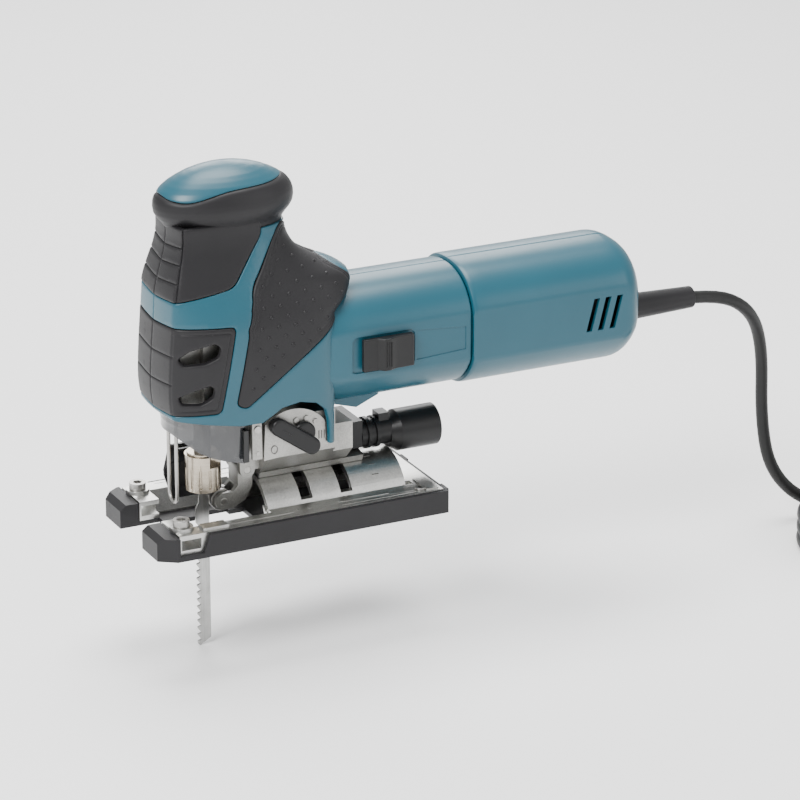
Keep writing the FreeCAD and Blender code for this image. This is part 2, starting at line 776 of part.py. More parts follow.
# Each level of the head: height, front, rear, half width at the front creases and at the sides.
HEAD_LEVELS = [
    (64, -66, 26, 20, 31),
    (80, -68, 26, 21, 32),
    (118, -66, 26, 21, 33),
    (126, -65.5, 40, 21, 31),
    (134, -65, 40, 21, 28.5),
    (141, -63, 25, 20, 25.5),
    (148, -61, 13, 18.5, 22.5),
    (155, -59, 8, 17.5, 20),
    (162, -58, 6, 16.5, 19),
]


def head_level(level, inset):
    """One closed outline of the head: a bowed front, two creases and full sides."""
    up, front, rear, crease, side = level
    front += inset
    rear -= inset
    crease -= inset * 0.8
    side -= inset
    creases = [Vector(front + 1.6, hand * crease, up) for hand in (-1, 1)]
    edges = [Part.Arc(creases[0], Vector(front, 0, up), creases[1]).toShape()]
    for hand in (1, -1):
        curve = Part.BSplineCurve()
        through = [
            Vector(front + 1.6, hand * crease, up),
            Vector(front + 18, hand * (side - 1.6), up),
            Vector((front + rear) / 2 + 6, hand * side, up),
            Vector(rear, hand * side * 0.9, up),
        ]
        curve.interpolate(through if hand == 1 else through[::-1])
        edges.append(curve.toShape())
        if hand == 1:
            edges.append(Part.LineSegment(through[-1], Vector(rear, -side * 0.9, up)).toShape())
    return Part.Wire(Part.__sortEdges__(edges))


def head_solid(inset, low=None, high=None):
    levels = [list(level) for level in HEAD_LEVELS]
    if low is not None:
        levels[0][0] = low
        levels[-1][0] = high
    return Part.makeLoft([head_level(level, inset) for level in levels], True, True)


HEAD_OUTER = head_solid(0)
HEAD_MIDDLE = head_solid(size("rubber_depth"), 63, 163)
HEAD_INNER = head_solid(size("head_wall"), 62, 164)
SKIN = HEAD_OUTER.cut(HEAD_MIDDLE)
ALONG_BARREL = Vector(1, 0, 0)
BARREL_FRONT = Vector(26, 0, size("motor_up"))
BARREL_ROOM = Part.makeCylinder(size("barrel_radius") + size("fit_gap"), 60, BARREL_FRONT, ALONG_BARREL)

# Outlines of the rubber grips, seen from the side.
SIDE_GRIP = [(-1, 161), (-21, 136.5), (-33, 76), (-27, 74), (1, 95)]
SIDE_GRIP += [(25, 113), (38, 128), (38, 133), (24, 141), (6, 154)]
FRONT_GRIP = [(-75, 73), (-41, 73), (-34, 118), (-75, 118)]
UPPER_GRIP = [(-75, 134), (-34, 134), (-16, 158), (-12, 161.9), (-75, 161.9)]
WINDOWS = [(98, 111), (77, 89)]


def rubber(outline, y0, y1):
    """A piece of the head's outer skin inside an outline seen from the side."""
    return SKIN.common(prism_y(outline, y0, y1)).cut(BARREL_ROOM)


GRIPS = {
    "side_grip_left": rubber(SIDE_GRIP, -50, -7),
    "side_grip_right": rubber(SIDE_GRIP, 7, 50),
    "upper_grip": rubber(UPPER_GRIP, -50, 50),
    "front_grip": rubber(FRONT_GRIP, -50, 50),
}
WINDOW_HALF = 16
WINDOWS_CUT = Part.makeCompound([
    Part.makeBox(16, 2 * WINDOW_HALF, high - low, Vector(-70, -WINDOW_HALF, low)) for low, high in WINDOWS
])
for label, shape in GRIPS.items():
    node(label, own(shape.cut(WINDOWS_CUT)))

SHAFT_ROOM = Part.makeCylinder(24, 20, Vector(15, 0, size("motor_up")), ALONG_BARREL)
FULL_SHELL = HEAD_OUTER.cut(HEAD_INNER).cut(BARREL_ROOM).cut(WINDOWS_CUT).cut(SHAFT_ROOM)
FULL_SHELL = FULL_SHELL.cut(Part.makeCompound(list(GRIPS.values())))
BRACKET_ARCH = Part.makeCylinder(24, 20, Vector(2, -45, 46), Vector(0, 1, 0))
for hand, side in BOTH.items():
    half = Part.makeBox(200, 60, 200, Vector(-100, min(0, side * 60), 0))
    shell = FULL_SHELL.common(half)
    node(f"head_shell_{hand}", own(shell.cut(BRACKET_ARCH)))

# ---------------------------------------------------------------- barrel, rear cover and knob

GUARD_UP = 82


def motor_housing():
    """The barrel round the motor, with a narrower tail inside the rear cover."""
    barrel = rod("barrel_radius", 26, "barrel_rear", **MOTOR)
    tail = rod(29.8, "barrel_rear - 1", 160, **MOTOR)
    room = rod(26.8, 34, 148, **MOTOR)
    fan_room = rod(28.5, 27, 46, **MOTOR)
    front_opening = rod(14, 20, 40, **MOTOR)
    boss = own(prism_y([(27, 66), (27, 61), (43, 56), (56, 62), (56, 66)], -12, 12))
    slider_height = ("slider_low - 0.4", "slider_high + 0.4")
    slider_room = box("slider_front - 6", "slider_rear + 2", -40, -31, *slider_height)
    link_slot = box("slider_front + 3", "slider_rear - 8", -40, -28, 90, 94)
    bearing_seat = rod(10, 140, 157, **MOTOR)
    shaft_hole = rod("shaft_radius + 1", 140, 170, **MOTOR)
    cuts = [room, fan_room, front_opening, slider_room, link_slot, bearing_seat, shaft_hole]
    return cut(fuse(barrel, tail, boss), *cuts)


def rear_cover():
    """The cap over the tail, with a rounded rear edge, a flat on each side and slanting vents."""
    made = body("cap")
    outline = sketch_on(made, "XZ_Plane")
    radius = size("cover_radius")
    wall = size("cover_wall")
    front = size("cover_front")
    rear = size("cover_rear")
    round_off = 15
    corners = [(front, 30), (front, radius - 1), (front + 1, radius), (rear - round_off, radius)]
    for a, b in zip(corners, corners[1:]):
        outline.addGeometry(Part.LineSegment(Vector(*a, 0), Vector(*b, 0)), False)
    centre = Vector(rear - round_off, radius - round_off, 0)
    middle = centre + Vector(round_off * math.sqrt(0.5), round_off * math.sqrt(0.5), 0)
    outline.addGeometry(Part.Arc(Vector(*corners[-1], 0), middle, Vector(rear, radius - round_off, 0)), False)
    inside = [(rear, radius - round_off), (rear, 0), (rear - wall, 0), (rear - wall, radius - round_off),
              (rear - round_off, radius - wall), (160.5, radius - wall), (160.5, 30), (front, 30)]
    for a, b in zip(inside, inside[1:]):
        outline.addGeometry(Part.LineSegment(Vector(*a, 0), Vector(*b, 0)), False)
    turned = made.newObject("PartDesign::Revolution", "turned")
    turned.Profile = outline
    turned.ReferenceAxis = (outline, ["H_Axis"])
    turned.Angle = 360
    place(made, 0, 0, "motor_up")
    vents = []
    for x in (174, 181, 188):
        for side in BOTH.values():
            y0, y1 = sorted((side * 20, side * 40))
            vents.append(own(prism_y([(x - 4, 84), (x - 1, 84), (x + 3, 102), (x, 102)], y0, y1)))
    dial_gap = box("cover_rear - 8", "cover_rear + 5", -9.2, 9.2, 103.6, 112.4)
    guard_hole = rod(8.6, "cover_rear - 5", "cover_rear + 1", z=GUARD_UP, turn=ALONG_X)
    return cut(made, *vents, dial_gap, guard_hole)


def speed_dial():
    """A ribbed thumbwheel that shows in the rear face."""
    wheel = rod(9.5, 104, 112, x="cover_rear - 8.2")
    notches = [
        rod(0.8, 100, 120, x=size("cover_rear") - 8.2 + 9.6 * math.cos(a), y=9.6 * math.sin(a))
        for a in (math.radians(t) for t in range(0, 360, 20))
    ]
    return cut(wheel, rod("pin_radius + fit_gap", 100, 120, x="cover_rear - 8.2"), *notches)


def switch_slider():
    """A stepped slide with a link bar through the barrel's wall."""
    face = box("slider_front", "slider_rear", "slider_face", -31.3, "slider_low", "slider_high")
    thumb = own(prism_y([(50, 85), (63, 85), (63, 99.5), (50, 99.5)], size("slider_face") - 1.6, -33))
    grooves = [box(x, x + 1.2, -40, "slider_face - 0.7", 80, 105) for x in (52.5, 55.5, 58.5)]
    link = box(46, 56, -32, -29, 90.4, 93.6)
    return cut(fuse(face, thumb, link), *grooves)


def ellipsoid(rise, half_length, half_width, x, z):
    """A round form of three different half sizes."""
    item = doc.addObject("Part::Ellipsoid", "egg")
    bind(item, Radius1=rise, Radius2=half_length, Radius3=half_width)
    item.Angle1 = -90
    return place(item, x, 0, z)


def knob(half):
    """The palm knob: a flat ellipsoid, parted by a plane that rises to the rear."""
    slope = [(-90, 181.5), (40, 189)]
    top = prism_y(slope + [(40, 240), (-90, 240)], -60, 60)
    base = prism_y(slope + [(40, 120), (-90, 120)], -60, 60)
    dome = ellipsoid("knob_rise", "knob_half_length", "knob_half_width", "knob_x", "knob_up")
    bowl = ellipsoid("knob_drop", "knob_half_length", "knob_half_width", "knob_x", "knob_up")
    upper = cut(dome, box(-100, 100, -60, 60, 100, "knob_up"))
    lower = cut(bowl, box(-100, 100, -60, 60, "knob_up", 240))
    neck_end = Part.Edge(Part.Ellipse(Vector(size("knob_x"), 0, size("head_high")), 32, 18.5))
    neck = own(Part.Face(Part.Wire(neck_end)).extrude(Vector(0, 0, 14)))
    room = rod(9, 150, 186, x="knob_x - 12")
    whole = fuse(upper, lower, neck)
    if half == "cap":
        return cut(common(whole, own(top)), room)
    below_neck = box(-100, 100, -60, 60, 150, "head_high")
    return cut(common(whole, own(base)), room, below_neck)


node("motor_housing", motor_housing())
node("rear_cover", rear_cover())
node("speed_dial", speed_dial())
node("dial_pin", rod("pin_radius", 102, 114, x="cover_rear - 8.2"))
node("switch_slider", switch_slider())
node("switch_body", box(168, 196, -16, 16, 78, 100))
node("knob_cap", knob("cap"))
node("knob_grip", knob("grip"))

# ---------------------------------------------------------------- cord


def cord_guard():
    """A ribbed rubber guard that tapers towards the cord."""
    sleeve = cone(7.5, 6, "cover_rear", 252, z=GUARD_UP, turn=ALONG_X)
    root = rod(8.6, "cover_rear - cover_wall", "cover_rear", z=GUARD_UP, turn=ALONG_X)
    return cut(fuse(sleeve, root), rod("cord_radius", 236, 260, z=GUARD_UP, turn=ALONG_X))


# The cord's route: from the guard, past the right of the dust nozzle's axis, down to the floor and the coil.
ROUTE = [
    (236, 0, GUARD_UP),
    (266, 0, GUARD_UP),
    (293, 4, 68),
    (308, 14, 40),
    (311, 18, -4),
    (316, 15, -36),
    (336, 11, -57.5),
    (366, 9, -64.1),
]


def cord_tube():
    """Straight runs joined by arcs that touch both runs."""
    points = [Vector(*point) for point in ROUTE]
    edges = []
    start = points[0]
    for before, corner, after in zip(points, points[1:], points[2:]):
        run_in = corner - before
        run_out = after - corner
        half_turn = run_in.getAngle(run_out) / 2
        cut_back = 0.45 * min(run_in.Length, run_out.Length)
        radius = cut_back / math.tan(half_turn)
        print(f"cord arc radius {radius:.1f}, run {run_in.Length:.1f}")
        run_in.normalize()
        run_out.normalize()
        first = corner - run_in * cut_back
        last = corner + run_out * cut_back
        bisector = run_out - run_in
        bisector.normalize()
        middle = corner + bisector * (radius / math.cos(half_turn) - radius)
        edges.append(Part.LineSegment(start, first).toShape())
        edges.append(Part.Arc(first, middle, last).toShape())
        start = last
    edges.append(Part.LineSegment(start, points[-1]).toShape())
    path = Part.Wire(edges)
    direction = points[1] - points[0]
    profile = Part.Wire(Part.Circle(points[0], direction, size("cord_radius")).toShape())
    solid = path.makePipeShell([profile], True, True)
    expected = math.pi * size("cord_radius") ** 2 * path.Length
    print(f"cord tube length {path.Length:.1f}, volume ratio {solid.Volume / expected:.4f}")
    return own(solid)


def cord_coil():
    """The closed outer shape of the coiled cord."""
    floor = "blade_tip"
    middle = dict(x="coil_x", y="coil_y")
    outer = rod("coil_radius + coil_half_section", floor, f"{floor} + 2 * coil_half_section", **middle)
    inner = rod("coil_radius - coil_half_section", -80, 0, **middle)
    return cut(outer, inner)


def plug():
    """A flat two-pin plug that lies on the coil."""
    x = size("coil_x") + 18
    y = size("coil_y") - 40
    z = size("blade_tip") + 2 * size("coil_half_section")
    outline = [(0, -5), (22, -12.5), (34, -12.5), (34, 12.5), (22, 12.5), (0, 5)]
    shell = own(prism_z([(x - along, y + across) for along, across in outline], z, z + 13))
    pins = [rod(2.4, x - 53, x - 33, y=y + side * 9.3, z=z + 6.5, turn=ALONG_X) for side in BOTH.values()]
    return fuse(shell, *pins)


node("cord_guard", cord_guard())
node("cord_tube", cord_tube())
node("cord_coil", cord_coil())
node("plug", plug())

# ---------------------------------------------------------------- checks and files

doc.recompute()
failed = [item.Label for item in doc.Objects if {"Invalid", "Error"} & set(item.State)]
for label, item in NODES.items():
    shape = item.Shape
    if shape.isNull() or not shape.isValid() or shape.Volume <= 0:
        failed.append(label)
if failed:
    raise SystemExit(f"these objects failed: {sorted(set(failed))}")

os.makedirs("parts", exist_ok=True)
for label, item in NODES.items():
    item.Shape.exportStep(f"parts/{label}.step")
    print(f"{label}: {len(item.Shape.Solids)} solids, {item.Shape.Volume:.0f} mm3")
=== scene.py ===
import math

import bmesh
import bpy
import numpy as np
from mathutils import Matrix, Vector, geometry


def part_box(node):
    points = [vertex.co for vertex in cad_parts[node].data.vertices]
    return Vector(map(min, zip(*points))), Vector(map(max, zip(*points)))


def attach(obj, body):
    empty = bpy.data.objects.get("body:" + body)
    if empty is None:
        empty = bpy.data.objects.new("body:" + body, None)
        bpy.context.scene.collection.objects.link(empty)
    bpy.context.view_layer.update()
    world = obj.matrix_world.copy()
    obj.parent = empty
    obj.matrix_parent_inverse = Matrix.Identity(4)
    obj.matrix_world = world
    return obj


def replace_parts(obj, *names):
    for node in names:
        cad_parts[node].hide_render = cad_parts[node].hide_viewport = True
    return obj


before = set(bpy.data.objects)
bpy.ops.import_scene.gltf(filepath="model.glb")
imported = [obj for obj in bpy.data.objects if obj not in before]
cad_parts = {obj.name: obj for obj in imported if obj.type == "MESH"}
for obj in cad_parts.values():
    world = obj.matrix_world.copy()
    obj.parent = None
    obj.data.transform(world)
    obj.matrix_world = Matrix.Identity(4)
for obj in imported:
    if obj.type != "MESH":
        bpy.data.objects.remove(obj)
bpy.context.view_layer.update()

MM = 0.001
FLOOR_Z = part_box("blade")[0].z

# ---------------------------------------------------------------- camera

def add_camera():
    """A long lens from the front left of the tool, a little above it."""
    turn = math.radians(-26.37)
    lift = math.radians(20.48)
    away = Vector((math.sin(turn) * math.cos(lift), -math.cos(turn) * math.cos(lift), math.sin(lift)))
    eye = bpy.data.objects.new("camera", bpy.data.cameras.new("camera"))
    bpy.context.collection.objects.link(eye)
    eye.location = Vector((0.0746, 0, 0.051)) + away * 2.0707
    eye.rotation_euler = away.to_track_quat("Z", "Y").to_euler()
    eye.data.lens = 175.5
    eye.data.sensor_width = 36
    bpy.context.scene.camera = eye


add_camera()

# ---------------------------------------------------------------- shader maths


class Value:
    """A shader socket that takes part in plain arithmetic."""

    def __init__(self, paint, socket):
        self.paint = paint
        self.socket = socket

    def maths(self, operation, first, second):
        return self.paint.make("ShaderNodeMath", {"operation": operation}, {0: first, 1: second})

    def __add__(self, other):
        return self.maths("ADD", self, other)

    def __radd__(self, other):
        return self.maths("ADD", other, self)

    def __sub__(self, other):
        return self.maths("SUBTRACT", self, other)

    def __rsub__(self, other):
        return self.maths("SUBTRACT", other, self)

    def __mul__(self, other):
        return self.maths("MULTIPLY", self, other)

    def __rmul__(self, other):
        return self.maths("MULTIPLY", other, self)

    def __truediv__(self, other):
        return self.maths("DIVIDE", self, other)

    def __pow__(self, other):
        return self.maths("POWER", self, other)

    def above(self, low, high):
        """0 up to low, 1 from high, and a smooth step between."""
        fields = {"Value": self, "From Min": low, "From Max": high, "To Min": 0.0, "To Max": 1.0}
        return self.paint.make("ShaderNodeMapRange", {"interpolation_type": "SMOOTHSTEP"}, fields)


class Paint:
    """One material: a Principled shader and the nodes that feed it."""

    def __init__(self, name):
        self.material = bpy.data.materials.new(name)
        self.material.use_nodes = True
        self.tree = self.material.node_tree
        self.shader = next(n for n in self.tree.nodes if n.type == "BSDF_PRINCIPLED")

    def make(self, kind, settings=None, inputs=None, out=0):
        """Any node: its settings go in first, then the values or links of its sockets."""
        made = self.tree.nodes.new(kind)
        for name, value in (settings or {}).items():
            if name == "stops":
                self.set_stops(made.color_ramp, value)
            else:
                setattr(made, name, value)
        for key, value in (inputs or {}).items():
            self.feed(made.inputs[key], value)
        return Value(self, made.outputs[out])

    def set_stops(self, ramp, stops):
        while len(ramp.elements) < len(stops):
            ramp.elements.new(0.5)
        for element, (place, colour) in zip(ramp.elements, stops):
            element.position = place
            element.color = (*colour, 1)

    def feed(self, socket, value):
        if isinstance(value, Value):
            self.tree.links.new(value.socket, socket)
        else:
            socket.default_value = value

    def set(self, **fields):
        """Feed the shader: Base_Color stands for the socket named Base Color."""
        for name, value in fields.items():
            if name == "Base_Color" and not isinstance(value, Value):
                value = (*value, 1)
            self.feed(self.shader.inputs[name.replace("_", " ")], value)
        return self

    def place(self):
        return self.make("ShaderNodeTexCoord", out="Object")

    def noise(self, scale, detail=2.0, rough=0.5, at=None):
        fields = {"Vector": at or self.place(), "Scale": scale, "Detail": detail, "Roughness": rough}
        return self.make("ShaderNodeTexNoise", None, fields, out="Fac")

    def stretched(self, x, y, z):
        return self.make("ShaderNodeVectorMath", {"operation": "MULTIPLY"}, {0: self.place(), 1: (x, y, z)})

    def cells(self, scale, out="Distance"):
        return self.make("ShaderNodeTexVoronoi", None, {"Vector": self.place(), "Scale": scale}, out=out)

    def mix(self, share, first, second):
        """A blend of two colours."""
        pair = [c if isinstance(c, Value) else (*c, 1) for c in (first, second)]
        fields = {0: share, 6: pair[0], 7: pair[1]}
        return self.make("ShaderNodeMix", {"data_type": "RGBA"}, fields, out=2)

    def bump(self, height, strength, distance):
        fields = {"Height": height, "Strength": strength, "Distance": distance}
        return self.set(Normal=self.make("ShaderNodeBump", None, fields))


def moulded(name, colour, dark, rough, grain_scale, grain, coat=0.0, shine=0.32):
    """Moulded plastic or rubber: a fine spark-eroded grain, with faint uneven tone and handling marks."""
    paint = Paint(name)
    broad = paint.noise(28.0, 3.0)
    fine = paint.noise(grain_scale, 2.0, 0.6)
    marks = paint.noise(150.0, 4.0, 0.65).above(0.56, 0.74)
    tone = (broad * 0.55 + fine * 0.25 + 0.1).above(0.25, 0.75)
    paint.set(
        Base_Color=paint.mix(tone, dark, colour),
        Roughness=rough + marks * 0.07 - broad * 0.06 + fine * 0.05,
        Coat_Roughness=0.3,
        Coat_Weight=coat,
        IOR=1.46,
        Specular_IOR_Level=shine,
    )
    return paint.bump(fine, grain, 0.00008).material


def cast_metal(name, light, dark, rough=0.38, grit=1400.0, strength=0.55):
    """Die-cast aluminium: sparkling grain, soft flow patches and a few darker pits."""
    paint = Paint(name)
    flow = paint.noise(45.0, 4.0, 0.6)
    grain = paint.noise(grit, 3.0, 0.7)
    pits = 1 - paint.cells(420.0).above(0.05, 0.16)
    shade = (flow * 0.5 + grain * 0.6).above(0.3, 0.8)
    paint.set(
        Base_Color=paint.mix(pits * 0.35, paint.mix(shade, dark, light), (0.12, 0.12, 0.12)),
        Metallic=1.0,
        Roughness=rough + grain * 0.18 - flow * 0.08,
    )
    return paint.bump(grain + flow * 0.5 - pits * 0.5, strength, 0.00012).material


def drawn_metal(name, light, dark, rough, streak, strength=0.25):
    """Machined or plated metal with fine streaks along one direction, and a little tarnish."""
    paint = Paint(name)
    lines = paint.noise(900.0, 2.0, 0.6, at=paint.stretched(*streak))
    tarnish = paint.noise(90.0, 4.0, 0.6)
    paint.set(
        Base_Color=paint.mix((lines * 0.5 + tarnish * 0.6).above(0.3, 0.8), dark, light),
        Metallic=1.0,
        Roughness=rough + lines * 0.14 + tarnish.above(0.5, 0.8) * 0.1,
    )
    return paint.bump(lines, strength, 0.00005).material


def clear_smoke(name):
    """Smoky clear polycarbonate with faint scratches and dust."""
    paint = Paint(name)
    dust = paint.noise(260.0, 5.0, 0.7).above(0.5, 0.8)
    scratch = paint.noise(700.0, 2.0, 0.5, at=paint.stretched(1, 1, 0.08)).above(0.62, 0.72)
    paint.set(
        Base_Color=paint.mix(dust * 0.3, (0.030, 0.032, 0.036), (0.16, 0.16, 0.155)),
        Roughness=0.07 + dust * 0.2 + scratch * 0.15,
        Alpha=0.84 + dust * 0.08 + scratch * 0.06,
        IOR=1.58,
        Coat_Weight=0.6,
        Coat_Roughness=0.05,
    )
    return paint.bump(scratch + dust * 0.3, 0.1, 0.00005).material


TEAL = moulded("teal plastic", (0.010, 0.078, 0.112), (0.008, 0.066, 0.096), 0.36, 1900.0, 0.16, 0.15, 0.4)
GRIP = moulded("black grip rubber", (0.013, 0.0125, 0.014), (0.009, 0.0085, 0.0095), 0.48, 2600.0, 0.35)
BLACK = moulded("black plastic", (0.010, 0.010, 0.0105), (0.007, 0.007, 0.0075), 0.36, 2000.0, 0.28)
GLOSS = moulded("glossy black plastic", (0.009, 0.009, 0.0095), (0.006, 0.006, 0.0065), 0.2, 1500.0, 0.08,
                0.35)
LEAD = moulded("cord sheath", (0.013, 0.013, 0.013), (0.009, 0.009, 0.009), 0.48, 1200.0, 0.22)
CAST = cast_metal("die-cast aluminium", (0.44, 0.435, 0.415), (0.25, 0.247, 0.235))
PLATE = cast_metal("machined aluminium", (0.62, 0.62, 0.60), (0.42, 0.42, 0.405), 0.27, 900.0, 0.2)
STEEL = drawn_metal("turned steel", (0.48, 0.47, 0.45), (0.30, 0.295, 0.285), 0.27, (1, 1, 0.05))
DARK_STEEL = drawn_metal("blackened steel", (0.17, 0.165, 0.16), (0.08, 0.078, 0.075), 0.3, (1, 0.05, 1))
NICKEL = drawn_metal("warm nickel", (0.52, 0.46, 0.38), (0.34, 0.30, 0.24), 0.17, (0.05, 0.05, 1))
BLADE = drawn_metal("saw blade steel", (0.50, 0.50, 0.49), (0.32, 0.32, 0.31), 0.26, (1, 1, 0.04), 0.4)
SMOKE = clear_smoke("smoky clear cover")
BRONZE = drawn_metal("sintered bronze", (0.46, 0.28, 0.12), (0.30, 0.17, 0.07), 0.35, (1, 1, 1))

# ---------------------------------------------------------------- mesh helpers


def link(name, mesh, body, material=None):
    """A new piece that rides on a CAD body. Its mesh is in metres, in the frame."""
    piece = bpy.data.objects.new(name, mesh)
    bpy.context.collection.objects.link(piece)
    if material:
        mesh.materials.append(material)
    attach(piece, body)
    return piece


def shade(mesh, angle=32):
    """Smooth faces, with sharp edges where the faces meet at more than the angle."""
    mesh.shade_smooth()
    mesh.set_sharp_from_angle(angle=math.radians(angle))


def broken(piece, width=0.4, segments=2, angle=40):
    """Give a piece small rounded edges."""
    edge = piece.modifiers.new("broken edges", "BEVEL")
    edge.width = width * MM
    edge.segments = segments
    edge.limit_method = "ANGLE"
    edge.angle_limit = math.radians(angle)
    edge.harden_normals = True
    return piece


def rounded(node, body, material, width, segments=2):
    """A CAD part's own form with its edges broken, as machined or moulded edges are."""
    shape = bmesh.new()
    shape.from_mesh(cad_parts[node].data)
    bmesh.ops.remove_doubles(shape, verts=shape.verts, dist=0.00001)
    flat = {"angle_limit": math.radians(0.7), "verts": shape.verts, "edges": shape.edges}
    bmesh.ops.dissolve_limit(shape, **flat)
    mesh = bpy.data.meshes.new(f"{node}_finished")
    shape.to_mesh(mesh)
    shape.free()
    mesh.materials.clear()
    piece = broken(link(f"{node}_finished", mesh, body, material), width, segments, 38)
    shade(mesh)
    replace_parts(piece, node)
    return piece


def mesh_of(name, points, faces, angle=32):
    """A mesh from points in millimetres."""
    mesh = bpy.data.meshes.new(name)
    mesh.from_pydata([tuple(c * MM for c in p) for p in points], [], faces)
    mesh.validate()
    shade(mesh, angle)
    return mesh


def facing_out(mesh):
    """The mesh with its faces turned outwards."""
    shape = bmesh.new()
    shape.from_mesh(mesh)
    bmesh.ops.recalc_face_normals(shape, faces=shape.faces)
    shape.to_mesh(mesh)
    shape.free()
    return mesh


def grid_faces(rows, columns, closed=False):
    """Quads over a grid of points stored row by row."""
    faces = []
    for row in range(rows - 1):
        for column in range(columns if closed else columns - 1):
            after = (column + 1) % columns
            faces.append((row * columns + column, row * columns + after,
                          (row + 1) * columns + after, (row + 1) * columns + column))
    return faces


def inside(points, outline):
    """Which points lie in a closed outline, by crossings."""
    x, y = points[:, 0], points[:, 1]
    hit = np.zeros(len(points), bool)
    for (x0, y0), (x1, y1) in zip(outline, np.roll(outline, -1, axis=0)):
        crosses = (y0 > y) != (y1 > y)
        with np.errstate(divide="ignore", invalid="ignore"):
            hit ^= crosses & (x < (x1 - x0) * (y - y0) / (y1 - y0) + x0)
    return hit


def gap_to_line(points, line):
    """Each point's distance to an open line."""
    best = np.full(len(points), 1e9)
    for start, end in zip(line, line[1:]):
        run = end - start
        along = np.clip(((points - start) @ run) / max(run @ run, 1e-12), 0, 1)
        best = np.minimum(best, np.linalg.norm(points - start - along[:, None] * run, axis=1))
    return best


def gap_to(points, outline):
    """Each point's distance to a closed outline."""
    return gap_to_line(points, np.concatenate([outline, outline[:1]]))


def spaced(outline, step):
    """A closed outline with a point at least every step."""
    full = []
    for start, end in zip(outline, np.roll(outline, -1, axis=0)):
        count = max(1, int(np.linalg.norm(end - start) / step))
        full += [start + (end - start) * k / count for k in range(count)]
    return np.array(full)


def softened(outline, radius, steps=4):
    """An outline with its corners rounded by short curves."""
    outline = np.array(outline, float)
    outline = outline[np.linalg.norm(outline - np.roll(outline, 1, axis=0), axis=1) > 0.05]
    full = []
    for before, corner, after in zip(np.roll(outline, 1, axis=0), outline, np.roll(outline, -1, axis=0)):
        back = before - corner
        ahead = after - corner
        reach = min(radius, 0.45 * np.linalg.norm(back), 0.45 * np.linalg.norm(ahead))
        first = corner + back / np.linalg.norm(back) * reach
        last = corner + ahead / np.linalg.norm(ahead) * reach
        for k in range(steps + 1):
            u = k / steps
            full.append((1 - u) ** 2 * first + 2 * u * (1 - u) * corner + u ** 2 * last)
    return np.array(full)


# ---------------------------------------------------------------- the head's skin

# Height, front, rear, half width at the creases, half width of the sides, squareness of the rear.
LEVELS = np.array([
    (40, -66, 26, 20, 30.6, 7.0),
    (64, -66, 26, 20, 30.8, 7.0),
    (80, -67.8, 26, 21, 31.8, 7.0),
    (100, -67.2, 26, 21, 32.6, 7.0),
    (116, -66, 26.2, 21, 32.3, 6.0),
    (126, -65.4, 38, 21, 30.7, 3.6),
    (134, -64.6, 39.6, 20.8, 28.2, 3.0),
    (141, -63, 24.8, 20, 25.3, 2.7),
    (148, -61, 13.2, 18.6, 22.4, 2.5),
    (155, -59, 8, 17.4, 20, 2.4),
    (163, -57.8, 6, 16.6, 19, 2.3),
    (172, -57.8, 6, 16.6, 19, 2.3),
])
CREASE = 0.2
WIDEST = 0.56


def level_at(z):
    """The head's outline sizes at a height, smooth between the given ones."""
    rows = []
    heights = LEVELS[:, 0]
    place = np.clip(np.searchsorted(heights, z) - 1, 0, len(heights) - 2)
    for column in range(1, LEVELS.shape[1]):
        values = LEVELS[:, column]
        slopes = np.gradient(values, heights)
        width = heights[place + 1] - heights[place]
        u = np.clip((z - heights[place]) / width, 0, 1)
        start, end = values[place], values[place + 1]
        cap = 3 * np.abs(end - start) / width
        first = np.clip(slopes[place], -cap, cap)
        last = np.clip(slopes[place + 1], -cap, cap)
        rows.append((2 * u ** 3 - 3 * u ** 2 + 1) * start + (u ** 3 - 2 * u ** 2 + u) * width * first
                    + (3 * u ** 2 - 2 * u ** 3) * end + (u ** 3 - u ** 2) * width * last)
    return rows


def skin(round_way, z):
    """A point of the skin. round_way is 0 at the middle of the front, 1 at the middle of the rear, and
    negative on the left side."""
    front, rear, crease, side, square = level_at(z)
    a = np.abs(round_way)
    hand = np.where(round_way < 0, -1.0, 1.0)
    widest_x = front + 0.46 * (rear - front)
    u = np.clip(a / CREASE, 0, 1)
    v = np.clip((a - CREASE) / (WIDEST - CREASE), 0, 1)
    w = np.clip((a - WIDEST) / (1 - WIDEST), 0, 1)
    on_front = a <= CREASE
    on_side = a <= WIDEST
    x_side = front + 1.6 + (widest_x - front - 1.6) * v
    y_side = crease + (side - crease) * np.sin(np.pi / 2 * v ** 0.62)
    c, s = np.cos(np.pi / 2 * w), np.sin(np.pi / 2 * w)
    reach = (c ** square + s ** square) ** (-1 / square)
    x_rear = widest_x + (rear - widest_x) * s * reach
    y_rear = side * c * reach
    x = np.where(on_front, front + 1.6 * u ** 2, np.where(on_side, x_side, x_rear))
    y = np.where(on_front, crease * u, np.where(on_side, y_side, y_rear))
    return np.stack([x, hand * y, z], axis=-1)


def raised(round_way, z, height):
    """Points of the skin moved out along its normal."""
    step = 0.004
    here = skin(round_way, z)
    across = skin(round_way + step, z) - skin(round_way - step, z)
    along = skin(round_way, z + 0.4) - skin(round_way, z - 0.4)
    normal = np.cross(across, along)
    normal /= np.linalg.norm(normal, axis=-1, keepdims=True) + 1e-9
    from_axis = (here - [-25.0, 0, 0]) * [1, 1, 0]
    out = np.sign(np.sum(normal * from_axis, axis=-1))
    return here + normal * (out * height)[..., None]


def way_to(x, z):
    """How far round the skin, on one side, a place seen from the side lies."""
    x = np.asarray(x, float)
    z = np.asarray(z, float)
    low = np.full(x.shape, CREASE)
    high = np.full(x.shape, 1.0)
    for _ in range(24):
        middle = (low + high) / 2
        before = skin(middle, z)[..., 0] < x
        low = np.where(before, middle, low)
        high = np.where(before, high, middle)
    return (low + high) / 2


# The length that stands for the whole way round one side, in the flat map of the skin.
STRETCH = 118.0


